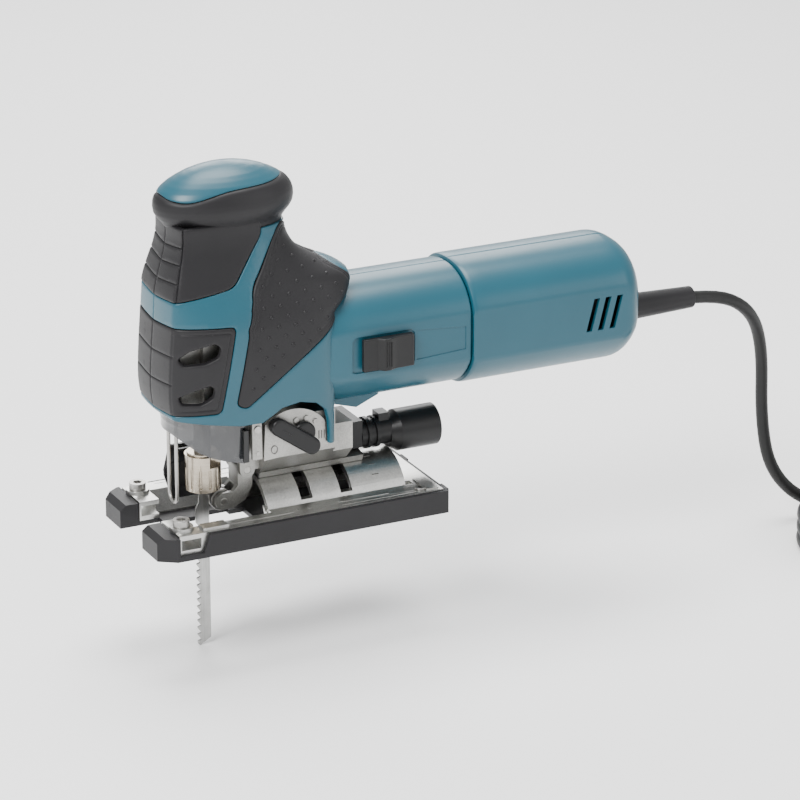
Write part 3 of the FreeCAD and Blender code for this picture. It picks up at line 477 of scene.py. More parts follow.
def unrolled(points, hand=-1):
    """A side outline in the flat map of the skin: the way round times a length, and the height."""
    points = np.array(points, float)
    shares = np.linspace(0, 1, 9)[:-1]
    finer = [start + (end - start) * u for start, end in zip(points, points[1:]) for u in shares]
    points = np.array([*finer, points[-1]])
    return np.stack([hand * STRETCH * way_to(points[:, 0], points[:, 1]), points[:, 1]], axis=1)


def beside(line, reach, closed=True):
    """A line of the flat map moved to its side."""
    ahead = np.roll(line, -1, axis=0) - np.roll(line, 1, axis=0)
    if not closed:
        ahead[0], ahead[-1] = line[1] - line[0], line[-1] - line[-2]
    normal = np.stack([-ahead[:, 1], ahead[:, 0]], axis=1)
    normal /= np.linalg.norm(normal, axis=1, keepdims=True) + 1e-9
    return line + normal * reach


def skin_patch(name, outline, holes, lift, depth, edge, step, grooves=(), rings=(), angle=50):
    """A moulded piece of the skin inside an outline of the flat map: its border rolls over and goes in.
    Grooves are open lines of the flat map with a depth. Rings are grooves that follow the border: a distance
    from it, a depth, and the heights between which they fade in."""
    loops = [spaced(outline, 1.1)] + [spaced(hole, 0.8) for hole in holes]
    low, high = loops[0].min(0), loops[0].max(0)
    across = np.arange(low[0], high[0], step)
    along = np.arange(low[1], high[1], step)
    mesh_points = np.stack(np.meshgrid(across, along), axis=-1)
    mesh_points[1::2, :, 0] += step / 2
    cloud = mesh_points.reshape(-1, 2)
    rims = []
    for loop in loops:
        for reach in (edge * 0.3, edge):
            rims += [beside(loop, reach), beside(loop, -reach)]
    for reach, _, _ in rings:
        for shift in (-0.36, 0, 0.36):
            rims += [beside(loops[0], reach + shift), beside(loops[0], -reach - shift)]
    lines = []
    for line, groove_depth in grooves:
        line = np.array(line, float)
        finer = spaced(line, 0.9)[:-max(1, int(np.linalg.norm(line[0] - line[-1]) / 0.9))]
        lines.append((np.concatenate([finer, line[-1:]]), groove_depth))
        rims += [beside(lines[-1][0], shift, closed=False) for shift in (-0.75, -0.36, 0, 0.36, 0.75)]
    loose = np.concatenate(rims)
    gaps = np.min([np.linalg.norm(cloud[:, None] - rim[None], axis=2).min(axis=1) for rim in rims], axis=0)
    cloud = np.concatenate([cloud[gaps > 0.5], loose])

    def within(points):
        kept = inside(points, loops[0])
        for loop in loops[1:]:
            kept &= ~inside(points, loop)
        return kept

    near = np.min([gap_to(cloud, loop) for loop in loops], axis=0)
    cloud = cloud[within(cloud) & (near > edge * 0.22)]
    points = np.concatenate([*loops, cloud])
    borders, start = [], 0
    for loop in loops:
        borders += [(start + k, start + (k + 1) % len(loop)) for k in range(len(loop))]
        start += len(loop)
    made = geometry.delaunay_2d_cdt([Vector(p) for p in points], borders, [], 0, 1e-6)
    flat = np.array([tuple(v) for v in made[0]])
    triangles = np.array([tuple(f) for f in made[2]])
    triangles = triangles[within(flat[triangles].mean(axis=1))]
    distance = np.min([gap_to(flat, loop) for loop in loops], axis=0)
    roll = np.clip(1 - distance / edge, 0, 1)
    height = lift - edge * (1 - np.sqrt(np.clip(1 - roll ** 2, 0, 1)))
    for line, groove_depth in lines:
        height -= groove_depth * np.exp(-(gap_to_line(flat, line) / 0.34) ** 2)
    border = gap_to(flat, loops[0])
    for reach, ring_depth, fade in rings:
        height -= ring_depth * np.exp(-((border - reach) / 0.3) ** 2) * fade(flat)
    top = raised(flat[:, 0] / STRETCH, flat[:, 1], height)
    rim = np.where(distance < 1e-4)[0]
    under = raised(flat[rim, 0] / STRETCH, flat[rim, 1], np.full(len(rim), lift - depth))
    faces = [tuple(t) for t in triangles]
    pair = {old: len(top) + k for k, old in enumerate(rim)}
    edges = {}
    for a, b, c in faces:
        for first, second in ((a, b), (b, c), (c, a)):
            edges[(first, second)] = edges.get((first, second), 0) + 1
    for first, second in edges:
        if (second, first) not in edges and first in pair and second in pair:
            faces.append((second, first, pair[first], pair[second]))
    mesh = mesh_of(name, np.concatenate([top, under]), faces, angle)
    shape = bmesh.new()
    shape.from_mesh(mesh)
    bmesh.ops.recalc_face_normals(shape, faces=shape.faces)
    centre = Vector((-0.025, 0, 0.12))
    face = max(shape.faces, key=lambda f: (f.calc_center_median() - centre).length)
    if face.normal.dot(face.calc_center_median() - centre) < 0:
        bmesh.ops.reverse_faces(shape, faces=shape.faces)
    shape.to_mesh(mesh)
    shape.free()
    return mesh


def smooth_step(value, low, high):
    """0 at low, 1 at high, and a smooth step between."""
    u = np.clip((value - low) / (high - low), 0, 1)
    return u * u * (3 - 2 * u)


# Outlines on the side of the head, seen from the side: x and z in millimetres.
GRIP_SIDE = [(-2, 162.6), (-22, 136.5), (-33.4, 76), (-28, 73.6), (0, 94.5), (24.6, 112.5), (37.2, 127.2),
             (38.2, 131.5), (35, 134.5), (24.5, 141.5), (13.5, 149.2), (8.4, 156), (5.2, 163), (1, 164.5)]
PLATE_SIDE = [(-41.8, 72.9), (-33.6, 118.5)]
UPPER_SIDE = [(-32.2, 138), (-12.8, 161.5), (-13, 169.5)]
WINDOW_HIGH = [(-63.4, 103.2), (-57.5, 107.8), (-45, 111.2), (-41.8, 108.5), (-43.2, 103.6), (-50, 100.6),
               (-61, 99.8)]
WINDOW_LOW = [(-63.6, 82.8), (-58, 85.4), (-47.6, 88.8), (-45.2, 86.4), (-46.4, 81.6), (-52, 78.4),
              (-61.8, 78.6)]
SHELL_SIDE = [(-31, 64.2), (-19, 64), (-14.5, 66.5), (-8, 70.6), (2, 72.2), (11.5, 70), (17.6, 65),
              (20.4, 57), (21, 45.2), (25.2, 44.2), (25.7, 62), (25.8, 114)]


def both_sides(right_half):
    """A flat outline across the middle of the front, from its right half."""
    right = np.array(right_half, float)
    left = right[::-1] * [-1, 1]
    return np.concatenate([right, left])


def stud_places(outline, pitch, margin):
    """A diagonal lattice of places inside an outline, seen from the side."""
    low, high = outline.min(0), outline.max(0)
    places = []
    for row, z in enumerate(np.arange(low[1], high[1], pitch * 0.56)):
        start = low[0] - 40 + (row % 2) * pitch * 0.5 + (z - low[1]) * 0.16
        places += [(x, z) for x in np.arange(start, high[0], pitch)]
    places = np.array(places)
    return places[inside(places, outline) & (gap_to(places, outline) > margin)]


def dome_field(name, places, hand, radius, height, lift):
    """Small round studs that stand on the skin at places seen from the side."""
    points, faces = [], []
    rings, sides = 4, 14
    spin = np.linspace(0, 2 * math.pi, sides, endpoint=False)
    for x, z in places:
        middle = skin(way_to(x, z) * np.array(1.0), np.array(z))
        ahead = skin(way_to(x + 0.5, z), np.array(z)) - middle
        above = skin(way_to(x, z + 0.5), np.array(z + 0.5)) - middle
        ahead /= np.linalg.norm(ahead)
        out = np.cross(ahead, above)
        out /= np.linalg.norm(out)
        out *= np.sign(out[1]) or 1
        above = np.cross(out, ahead)
        first = len(points)
        for tilt in np.linspace(0, math.pi / 2, rings + 1):
            for turn in spin:
                flat = ahead * math.cos(turn) + above * math.sin(turn)
                stand = lift - 0.3 + (height + 0.3) * math.sin(tilt)
                place = middle + flat * radius * math.cos(tilt) + out * stand
                points.append(place * [1, hand, 1])
        for ring in range(rings):
            row = first + ring * sides
            for k in range(sides):
                after = (k + 1) % sides
                faces.append((row + k, row + after, row + sides + after, row + sides + k))
    return facing_out(mesh_of(name, points, faces, 80))


def add_mesh(base, extra):
    """One mesh from two."""
    shape = bmesh.new()
    shape.from_mesh(base)
    shape.from_mesh(extra)
    shape.to_mesh(base)
    shape.free()
    return base


def flat_side(points, radius, hand):
    """A side outline in the flat map, with rounded corners, for the left (-1) or the right (1)."""
    round_corners = softened(points, radius)
    return unrolled([*round_corners, round_corners[0]], hand)[:-1]


def grown(outline, reach):
    """An outline moved outwards, for the groove round a piece."""
    after = np.roll(outline, -1, axis=0)
    area = np.sum(outline[:, 0] * after[:, 1] - after[:, 0] * outline[:, 1])
    ahead = after - np.roll(outline, 1, axis=0)
    normal = np.stack([ahead[:, 1], -ahead[:, 0]], axis=1) * (1.0 if area > 0 else -1.0)
    return outline + normal / (np.linalg.norm(normal, axis=1, keepdims=True) + 1e-9) * reach


def build_head():
    """The two shells with the grips let into them, with a narrow groove round each grip."""
    groove = 0.3
    crease_way = CREASE * STRETCH

    def on_upper_part(flat):
        return smooth_step(flat[:, 1], 100, 114)

    def beside_front(flat):
        return smooth_step(np.abs(flat[:, 0]), crease_way + 1.5, crease_way + 4)

    plate_right = unrolled(softened([(-50, 72.6), *PLATE_SIDE, (-50, 118.8)], 3)[5:-5], 1)
    plate = both_sides([(0, 71.6), (crease_way, 72.4), *plate_right, (crease_way, 119.4), (0, 118)])
    upper_right = unrolled(softened([(-50, 135), *UPPER_SIDE, (-50, 170)], 4)[5:-5], 1)
    upper = both_sides([(0, 131.5), (crease_way, 132.8), *upper_right, (crease_way, 169.5), (0, 169.2)])
    for hand, word in ((-1, "left"), (1, "right")):
        grip = flat_side(GRIP_SIDE, 4, hand)
        body_line = unrolled(SHELL_SIDE, hand)
        shoulder = [(hand * STRETCH * w, z) for w, z in ((0.93, 118), (1.0, 126), (1.0, 164.5))]
        front = [(hand * 0.02, 164.5), (hand * 0.02, 69.5), (hand * crease_way, 69.6)]
        shell_line = np.concatenate([front, body_line, shoulder])
        holes = [grown(grip, groove), grown(plate, groove), grown(upper, groove)]
        shell = skin_patch(f"shell_{word}", shell_line, holes, 0.0, 2.6, 0.55, 2.0)
        made = link(f"head_shell_{word}_skin", shell, "housing", TEAL)
        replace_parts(made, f"head_shell_{word}")

        lines = [(1.9, 0.3, on_upper_part), (3.2, 0.25, on_upper_part)]
        pad = skin_patch(f"pad_{word}", grip, (), 0.35, 2.2, 0.8, 1.5, (), lines)
        studs = stud_places(np.array(GRIP_SIDE, float), 9.4, 3.6)
        add_mesh(pad, dome_field("studs", studs, hand, 1.1, 0.7, 0.25))
        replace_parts(link(f"side_grip_{word}_pad", pad, "housing", GRIP), f"side_grip_{word}")

    holes = []
    for hand in (-1, 1):
        holes += [flat_side(w, 1.6, hand) for w in (WINDOW_HIGH, WINDOW_LOW)]
    across = crease_way + 0.2
    frame_lines = [([(-across, z + 1.4), (0, z), (across, z + 1.4)], 0.5) for z in (88, 103)]
    frame_lines += [([(0, 73), (0, 117)], 0.45)]
    frame_lines += [([(hand * across, 72.5), (hand * across, 119)], 0.4) for hand in (-1, 1)]
    frame_ring = [(2.6, 0.35, beside_front)]
    plate_mesh = skin_patch("plate", plate, holes, 0.3, 3.4, 0.8, 1.5, frame_lines, frame_ring)
    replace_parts(link("front_grip_plate", plate_mesh, "housing", GRIP), "front_grip")

    blocks = [([(-across, z + 1.6), (0, z), (across, z + 1.6)], 0.7) for z in (140.5, 149.5, 158)]
    blocks += [([(0, 132.5), (0, 168)], 0.6)]
    blocks += [([(hand * (across + 0.6), 133.5), (hand * (across + 0.6), 169)], 0.7) for hand in (-1, 1)]
    upper_mesh = skin_patch("upper", upper, (), 0.35, 2.4, 0.8, 1.4, blocks)
    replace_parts(link("upper_grip_blocks", upper_mesh, "housing", GRIP), "upper_grip")


build_head()

# ---------------------------------------------------------------- barrel, rear cover and knob


def tube_mesh(name, rings, angle=35):
    """A closed wall through rings that run along its outside and back along its inside."""
    count = len(rings[0])
    faces = grid_faces(len(rings), count, closed=True)
    last = (len(rings) - 1) * count
    faces += [(last + k, last + (k + 1) % count, (k + 1) % count, k) for k in range(count)]
    return facing_out(mesh_of(name, np.concatenate(rings), faces, angle))


def oblong(low_x, high_x, low_z, high_z):
    """A rectangle's outline."""
    return [(low_x, low_z), (high_x, low_z), (high_x, high_z), (low_x, high_z)]


def disc(x, z, radius, sides=32):
    """A circle's outline."""
    turns = np.linspace(0, 2 * math.pi, sides, endpoint=False)
    return [(x + radius * math.cos(a), z + radius * math.sin(a)) for a in turns]


def prism(outline, axis, low, high):
    """Points and faces of a straight prism. The outline lies across the axis: 0 for x, 1 for y, 2 for z."""
    points = []
    for level in (low, high):
        for first, second in outline:
            place = [first, second]
            place.insert(axis, level)
            points.append(place)
    count = len(outline)
    faces = [tuple(range(count)), tuple(range(2 * count - 1, count - 1, -1))]
    faces += [(k, (k + 1) % count, count + (k + 1) % count, count + k) for k in range(count)]
    return points, faces


def prisms(name, parts, angle=32):
    """One mesh of several prisms."""
    points, faces = [], []
    for part in parts:
        more_points, more_faces = prism(*part)
        faces += [tuple(len(points) + k for k in face) for face in more_faces]
        points += more_points
    return facing_out(mesh_of(name, points, faces, angle))


def carved(mesh, cutter):
    """The mesh with the cutter's forms taken out of it."""
    whole = bpy.data.objects.new("whole", mesh)
    tool = bpy.data.objects.new("tool", cutter)
    for piece in (whole, tool):
        bpy.context.collection.objects.link(piece)
    change = whole.modifiers.new("openings", "BOOLEAN")
    change.object = tool
    change.operation = "DIFFERENCE"
    change.solver = "EXACT"
    left = bpy.data.meshes.new_from_object(whole.evaluated_get(bpy.context.evaluated_depsgraph_get()))
    for piece in (whole, tool):
        bpy.data.objects.remove(piece)
    shade(left, 30)
    return left


SEAM_TURNS = np.array([90, 270])
TURNS = np.unique(np.concatenate([np.linspace(0, 360, 120, endpoint=False)]
                                 + [SEAM_TURNS + t for t in (-0.9, -0.45, 0.45, 0.9)]))
MOTOR_UP = 93


def barrel_ring(x, half_y, half_z, flat, square=2.35, seam=0.3, floor=None):
    """A section of the barrel: nearly round, with a flat on each side and a fine seam above and below."""
    turn = np.radians(TURNS)
    c, s = np.cos(turn), np.sin(turn)
    y = half_y * np.sign(c) * np.abs(c) ** (2 / square)
    z = half_z * np.sign(s) * np.abs(s) ** (2 / square)
    y = np.sign(y) * np.where(np.abs(y) > flat, flat + (np.abs(y) - flat) * 0.08, np.abs(y))
    slant = np.clip(-z - 0.42 * half_z, 0, None)
    y = y * (1 - 0.22 * slant / half_z)
    dip = np.isin(TURNS, SEAM_TURNS) * seam
    z = z - np.sign(z) * dip
    return np.stack([np.full(len(turn), x), y, MOTOR_UP + z], axis=1)


def build_barrel():
    """The motor housing, with the switch's recess, a side panel, a boss underneath and a sleeve inside."""
    outside = [(12, 28.6, 28.8, 27.6), (18, 30.6, 30.8, 29.4), (25, 32, 32.3, 30.6), (34, 32.5, 32.5, 30.7),
               (70, 32.5, 32.5, 30.7), (97, 32.5, 32.5, 30.7), (100.6, 32.4, 32.4, 30.6),
               (101.6, 31.6, 31.7, 30)]
    rings = [barrel_ring(x, y, z, flat) for x, y, z, flat in outside]
    rings += [barrel_ring(x, 28.5, 28.5, 28.4, 2, 0) for x in (101.6, 26)]
    rings.append(barrel_ring(12, 27.6, 27.8, 27.4, 2, 0))
    recess = [(32, 83), (34, 82.2), (66, 82.2), (68, 84.2), (68, 100), (66, 102), (34, 102), (32, 100)]
    panel = [(69, 84.5), (98, 86), (98, 98.5), (69, 101)]
    tools = prisms("tools", [(recess, 1, -40, -29.7), (panel, 1, -40, -30.35)])
    shell = carved(tube_mesh("barrel", rings), tools)
    boss = [(27, 64.5), (27, 61), (43, 56.2), (56, 61.6), (56, 64.5)]
    add_mesh(shell, prisms("boss", [(boss, 1, -12, 12)]))
    piece = broken(link("motor_housing_barrel", shell, "housing", TEAL), 0.5, 2, 30)
    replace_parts(piece, "motor_housing")
    sleeve = ((100, 29.8), (160, 29.8), (160, 27), (100, 27))
    tail = tube_mesh("tail", [barrel_ring(x, r, r, 40, 2, 0) for x, r in sleeve])
    link("motor_housing_tail", tail, "housing", BLACK)


def build_rear_cover():
    """The rear cover, with three slanting vents on each side, a slot in its end and the cord's opening."""

    def half_at(x, full, ease):
        """The cover's half height, rounded in at its rear edge."""
        over = max(0.0, x - (206 - ease))
        return full - ease + math.sqrt(max(ease ** 2 - over ** 2, 0.0))

    places = [102, 102.4, 103.2, 104.6, 112, 130, 150, 170, 185, 191]
    places += [191 + 15 * math.sin(math.radians(a)) for a in range(10, 91, 10)]
    lip = {102: 1.2, 102.4: 0.5, 103.2: 0.12}
    rings = []
    for x in places:
        half = half_at(x, 34, 15) - lip.get(x, 0)
        rings.append(barrel_ring(x, half, half, min(32.1, half - 0.5), 2.4))
    rings += [barrel_ring(206, 19 * f, 19 * f, 40, 2.5, 0) for f in (0.97, 0.6, 0.25, 0.01)]
    rings += [barrel_ring(203.4, r, r, 40, 2.4, 0) for r in (0.01, 10, 19)]
    for x in (200, 194, 188, 150, 102):
        half = half_at(x + 2.4, 34, 15) - 2.8
        rings.append(barrel_ring(x, half, half, 30, 2.4, 0))
    cuts = []
    for x in (173.5, 180.5, 187.5):
        slit = [(x - 4.4, 84.4), (x - 1, 84.4), (x + 3.6, 102.4), (x + 0.2, 102.4)]
        cuts += [(slit, 1, -40, -20), (slit, 1, 20, 40)]
    cuts.append((oblong(-9.2, 9.2, 103.6, 112.4), 0, 198, 212))
    cuts.append((disc(0, 82, 8.4), 0, 198, 212))
    mesh = carved(tube_mesh("cover", rings), prisms("tools", cuts))
    piece = broken(link("rear_cover_cap", mesh, "housing", TEAL), 0.35, 2, 42)
    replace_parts(piece, "rear_cover")


KNOB_MIDDLE = -26
KNOB_TOP = 197.45


def knob_sizes(z):
    """Half length and half width of the palm knob at a height."""
    table = np.array([
        (162, 31.8, 18.4), (164, 31.4, 18.1), (166.5, 32.0, 18.6), (169, 33.8, 20), (171.5, 36, 21.6),
        (174, 37.5, 22.7), (177, 38, 23.2), (180, 37.8, 23), (183, 36.8, 22.3), (186, 34.6, 20.8),
        (188.5, 31.4, 18.9), (190.8, 27.4, 16.4), (193, 22.6, 13.6), (194.8, 17.4, 10.4), (196.2, 11.8, 7),
        (197.1, 6, 3.6), (KNOB_TOP, 0.3, 0.2),
    ])
    return np.interp(z, table[:, 0], table[:, 1]), np.interp(z, table[:, 0], table[:, 2])


def build_knob():
    """The palm knob: a cap over a soft grip. The line between them dips near the front."""
    turns = np.linspace(0, 2 * math.pi, 128, endpoint=False)
    centre = np.array([KNOB_MIDDLE, 0, 0])
    backward = [-1, -0.94, -0.77, -0.64, -0.5, -0.34, -0.17, 0.1, 0.6, 1]
    heights = [184.3, 183.0, 181.8, 182.4, 183.8, 185.5, 186.7, 187.2, 187.4, 188.2]
    split = np.interp(np.cos(turns), backward, heights)
    for _ in range(6):
        split = (np.roll(split, 1) + split + np.roll(split, -1)) / 3

    def wall(low, high, steps, inset):
        rings = []
        for u in steps:
            z = low + (high - low) * u
            long, wide = knob_sizes(z)
            long, wide = long - inset(u), wide - inset(u)
            rings.append(np.stack([KNOB_MIDDLE + long * np.cos(turns), wide * np.sin(turns), z], axis=1))
        return rings

    def cap_inset(u):
        return 0.9 - 0.7 * math.sqrt(min(u / 0.05, 1))

    def grip_inset(u):
        return 0.9 * max(0, (u - 0.94) / 0.06) ** 2

    cap_steps = [0, 0.012, 0.03, 0.06, *np.linspace(0.1, 1, 26)]
    grip_steps = [0, *np.linspace(0.05, 0.94, 24), 0.97, 0.988, 1]
    cap = wall(split + 0.25, np.full(len(turns), KNOB_TOP), cap_steps, cap_inset)
    low_rings = wall(np.full(len(turns), 162.0), split, grip_steps, grip_inset)
    for name, rings, paint, part, slot in (("knob_cap_dome", cap, TEAL, "knob_cap", "teal_shell"),
                                           ("knob_grip_lip", low_rings, GRIP, "knob_grip", "black_rubber")):
        inner = [centre + (ring - centre) * [0.93, 0.9, 1] for ring in rings[::-1]]
        if part == "knob_cap":
            inner = [ring - [0, 0, 1.6] for ring in inner]
        mesh = tube_mesh(name, rings + inner, 50)
        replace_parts(link(name, mesh, "housing", paint), part)


build_barrel()
build_rear_cover()
build_knob()

# ---------------------------------------------------------------- metal and plastic parts with broken edges

FINISHES = [
    # CAD part, body, slot, finish, edge width
    ("cover_plate", "base", "black_plastic", GRIP, 0.9),
    ("shoe", "base", "cast_aluminium", PLATE, 0.45),
    ("foot", "housing", "cast_aluminium", CAST, 0.6),
    ("side_bracket", "housing", "cast_aluminium", CAST, 0.35),
    ("bracket_strip", "housing", "cast_aluminium", CAST, 0.5),
    ("retainer_arm", "retainer", "cast_aluminium", CAST, 0.7),
    ("roller", "roller_wheel", "steel", STEEL, 0.2),
    ("roller_pin", "retainer", "steel", STEEL, 0.3),
    ("retainer_pin", "housing", "steel", STEEL, 0.3),
    ("blade_clamp", "clamp_sleeve", "nickel", NICKEL, 0.3),
    ("clamp_collar", "plunger_unit", "nickel", NICKEL, 0.15),
    ("blade", "plunger_unit", "steel", BLADE, 0.12),
    ("dust_hood", "housing", "black_plastic", BLACK, 0.8),
    ("dust_nozzle", "housing", "black_plastic", BLACK, 0.5),
    ("dust_cover_clip", "visor", "black_plastic", GLOSS, 0.5),
    ("gear_housing", "housing", "cast_aluminium", CAST, 0.8),
    ("speed_dial", "dial", "black_plastic", BLACK, 0.25),
    ("cord_guard", "housing", "black_rubber", GRIP, 0.4),
    ("fence_bolt_left", "base", "steel", STEEL, 0.3),
    ("fence_bolt_right", "base", "steel", STEEL, 0.3),
    ("plate_screw_left", "base", "steel", STEEL, 0.25),
    ("plate_screw_right", "base", "steel", STEEL, 0.25),
    ("bevel_bolt_1", "base", "steel", DARK_STEEL, 0.3),
    ("bevel_bolt_2", "base", "steel", DARK_STEEL, 0.3),
]
for part, body, slot, finish, width in FINISHES:
    rounded(part, body, finish, width)

# CAD parts that are shown as they are, each with its finish.
KEPT = {
    "bevel_clamp_plate": DARK_STEEL, "plunger": STEEL, "rotor_shaft": STEEL, "rotor_core": BRONZE,
    "fan": BLACK, "commutator": BRONZE, "front_bearing": STEEL, "rear_bearing": STEEL, "stator": DARK_STEEL,
    "drive_gear": STEEL, "gear_axle": STEEL, "brush_left": BLACK, "brush_right": BLACK,
    "brush_holder_left": BRONZE, "brush_holder_right": BRONZE, "lower_bush": BRONZE, "upper_bush": BRONZE,
    "guard_wire": STEEL, "dial_pin": STEEL, "switch_body": BLACK,
}
for part, finish in KEPT.items():
    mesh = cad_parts[part].data
    mesh.materials.clear()
    mesh.materials.append(finish)


def bar_between(start, end, radius, steps=10):
    """The outline of a bar with round ends."""
    start, end = np.array(start, float), np.array(end, float)
    lean = math.atan2(*(end - start)[::-1])
    outline = []
    for centre, first in ((end, lean - math.pi / 2), (start, lean + math.pi / 2)):
        outline += [tuple(centre + radius * np.array([math.cos(a), math.sin(a)]))
                    for a in np.linspace(first, first + math.pi, steps)]
    return outline


def detail(name, parts, body, slot, material, width=0.15, segments=2):
    """Small straight-sided details with broken edges."""
    return broken(link(name, prisms(name, parts), body, material), width, segments)


def build_lever():
    """The orbit lever: a thick bar with round ends on a round hub."""
    handle = prisms("lever", [(bar_between((-9.6, 59.8), (9.2, 46.4), 4.7), 1, -31.3, -26.0),
                              (disc(6, 53, 6.4), 1, -28.4, -24.9), (disc(6, 53, 3.9), 1, -25, -15)])
    piece = broken(link("orbit_lever_handle", handle, "lever", BLACK), 1.7, 4, 60)
    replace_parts(piece, "orbit_lever")
    mark = bar_between((-7.5, 58.2), (-3.5, 55.4), 0.35, 5)
    detail("orbit_lever_mark", [(mark, 1, -31.45, -31.2)], "lever", "black_plastic", BLACK, 0.08)


def build_slider():
    """The slide switch: a long cap with a thumb ridge, and a link through the wall."""
    face = [(37, -33.9), (45.2, -33.9), (46.8, -35.8), (48.2, -36.9), (51.4, -37.1), (53.6, -36), (56, -35.3),
            (65, -35.1), (66, -34.6), (66, -31.3), (37, -31.3)]
    link_bar = oblong(46, 56, -32, -29)
    cap = prisms("slider", [(face, 2, 83.5, 101), (link_bar, 2, 90.4, 93.6)], 25)
    piece = broken(link("switch_slider_cap", cap, "slide_switch", BLACK), 0.55, 3, 30)
    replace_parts(piece, "switch_slider")
    ribs = [(oblong(x, x + 0.6, 85.4, 99.1), 1, -37.35, -36.6) for x in (48.9, 50.2, 51.5)]
    detail("switch_slider_ribs", ribs, "slide_switch", "black_plastic", BLACK, 0.2)


HUMP_RADIUS = 24.05
TILT_AXIS_UP = 2


def build_details():
    """Marks, screws and ribs that the driving parts leave out."""
    rails = []
    for hand in (-1, 1):
        for x0, x1, y in ((-40, -4, 33.4), (24, 66, 35.4), (24, 52, 31.2), (-52, -46, 36)):
            rails.append((bar_between((x0, hand * y), (x1, hand * y), 0.55, 6), 2, 12.9, 13.15))
        for x in range(-6, 24, 6):
            rails.append((bar_between((x, hand * 30.4), (x, hand * 32.6), 0.22, 4), 2, 12.9, 13.15))
        rails.append((oblong(72, 79, hand * 20, hand * 36.5), 2, 12.9, 13.7))
    detail("shoe_rails", rails, "base", "cast_aluminium", PLATE, 0.08)
    ticks = []
    for turn in (-45, -30, -15, 15, 30, 45):
        angle = math.radians(turn)
        y, z = HUMP_RADIUS * math.sin(angle), TILT_AXIS_UP + HUMP_RADIUS * math.cos(angle)
        ticks.append((oblong(y - 0.25, y + 0.25, z - 0.3, z + 0.12), 0, 49.5, 53.5))
    detail("shoe_scale", ticks, "base", "cast_aluminium", DARK_STEEL, 0.05)
    ring = np.linspace(0, 2 * math.pi, 28, endpoint=False)
    circle = []
    for first, last in zip(ring, np.roll(ring, -1)):
        corners = ((first, 1.5), (first, 1.95), (last, 1.95), (last, 1.5))
        segment = [(-10 + r * math.cos(a), 45.8 + r * 1.25 * math.sin(a)) for a, r in corners]
        circle.append((segment, 1, -24.75, -24.4))
    link("bracket_mark_off", prisms("mark", circle), "housing", DARK_STEEL)
    bars = [(oblong(x, x + 0.6, 47.6, 52.2), 1, -24.72, -24.4) for x in (15.2, 16.7, 18.2)]
    detail("bracket_mark_full", bars, "housing", "cast_aluminium", DARK_STEEL, 0.08)
    heads = [(disc(-19.4, 58.5, 2.1), 1, -25.3, -24.3), (disc(-19.4, 45.2, 1.2), 1, -24.9, -24.3)]
    detail("bracket_screw", heads, "housing", "steel", STEEL, 0.3)
    for x, z in ((-30, 70), (18, 70), (20, 118)):
        y = float(skin(way_to(x, z), np.array(float(z)))[1])
        boss = disc(x, z, 4.4)
        # The screw's slot is not cut: a thin black strip laid on the head is painted shade where the groove
        # would be.
        slot = bar_between((x - 1.6, z), (x + 1.6, z), 0.35, 4)
        detail("shell_screw_boss", [(boss, 1, y - 3, y + 0.25)], "housing", "teal_shell", TEAL, 0.4)
        detail("shell_screw", [(disc(x, z, 2.6), 1, y + 0.1, y + 0.55)], "housing", "steel", DARK_STEEL, 0.3)
        # Painted shade: a black strip on the screw head in place of the slot's groove.
        detail("shell_screw_slot_painted_shade", [(slot, 1, y + 0.5, y + 0.62)], "housing", "steel", BLACK, 0.03)


build_lever()
build_slider()
build_details()

# ---------------------------------------------------------------- clear cover


VISOR_TOP = 69.2
VISOR_WALL = 1.5


def build_visor():
    """The smoky cover under the head: a U in plan that narrows downwards, lowest on the lever's side."""
    plan = [(-24, -1.0), (-30, -1.0), (-36, -1.0), (-42, -1.0), (-47, -0.985)]
    plan += [(-48 - 13.6 * math.sin(a), -math.cos(a)) for a in np.radians(range(8, 173, 7))]
    plan += [(-47, 0.985), (-42, 1.0), (-36, 1.0), (-31.2, 1.0)]
    levels = np.linspace(0, 1, 18)

    def low_edge(x, side):
        front = np.interp(x, [-62, -52, -44, -34, -24], [57.5, 50, 45, 41, 38.3])
        return front + (56.5 - front) * smooth_step(np.array(side), -0.3, 0.35)

    def wall(inset):
        rows = []
        for u in levels:
            row = []
            for x, side in plan:
                low = float(low_edge(x, side))
                z = VISOR_TOP + (low - VISOR_TOP) * u
                pull = (VISOR_TOP - z) / 31
                half = 19.9 - 1.7 * pull ** 1.5 - inset
                bow = max(0.0, -48 - x) / 13.6
                rib = sum(0.25 * math.exp(-((z - middle) / 0.6) ** 2) for middle in (62.5, 57.5))
                row.append((x + bow * (0.4 + inset + 1.6 * pull - rib), side * (half + rib * 0.6), z))
            rows.append(row)
        return rows

    outer, inner = wall(0), wall(VISOR_WALL)
    count, rows = len(plan), len(levels)
    points = [p for row in outer + inner for p in row]
    shift = rows * count
    faces = grid_faces(rows, count)
    faces += [tuple(shift + k for k in face[::-1]) for face in grid_faces(rows, count)]
    edge = [*range(count)] + [r * count + count - 1 for r in range(1, rows)]
    edge += [(rows - 1) * count + k for k in range(count - 2, -1, -1)]
    edge += [r * count for r in range(rows - 2, 0, -1)]
    faces += [(a, b, shift + b, shift + a) for a, b in zip(edge, edge[1:] + edge[:1])]
    mesh = facing_out(mesh_of("visor", points, faces, 35))
    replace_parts(link("dust_cover_visor", mesh, "visor", SMOKE), "dust_cover")


build_visor()

# ---------------------------------------------------------------- cord and plug

CORD_ROUTE = [(236, 0, 82), (266, 0, 82), (293, 4, 68), (308, 14, 40), (311, 18, -4), (316, 15, -36),
              (336, 11, -57.5), (366, 9, -64.1)]
COIL = (356, -45)
CORD_THICKNESS = 7
FIRST_TURN_UP = -64.1
FIRST_ANGLE = 78
STEP_ANGLE = 24


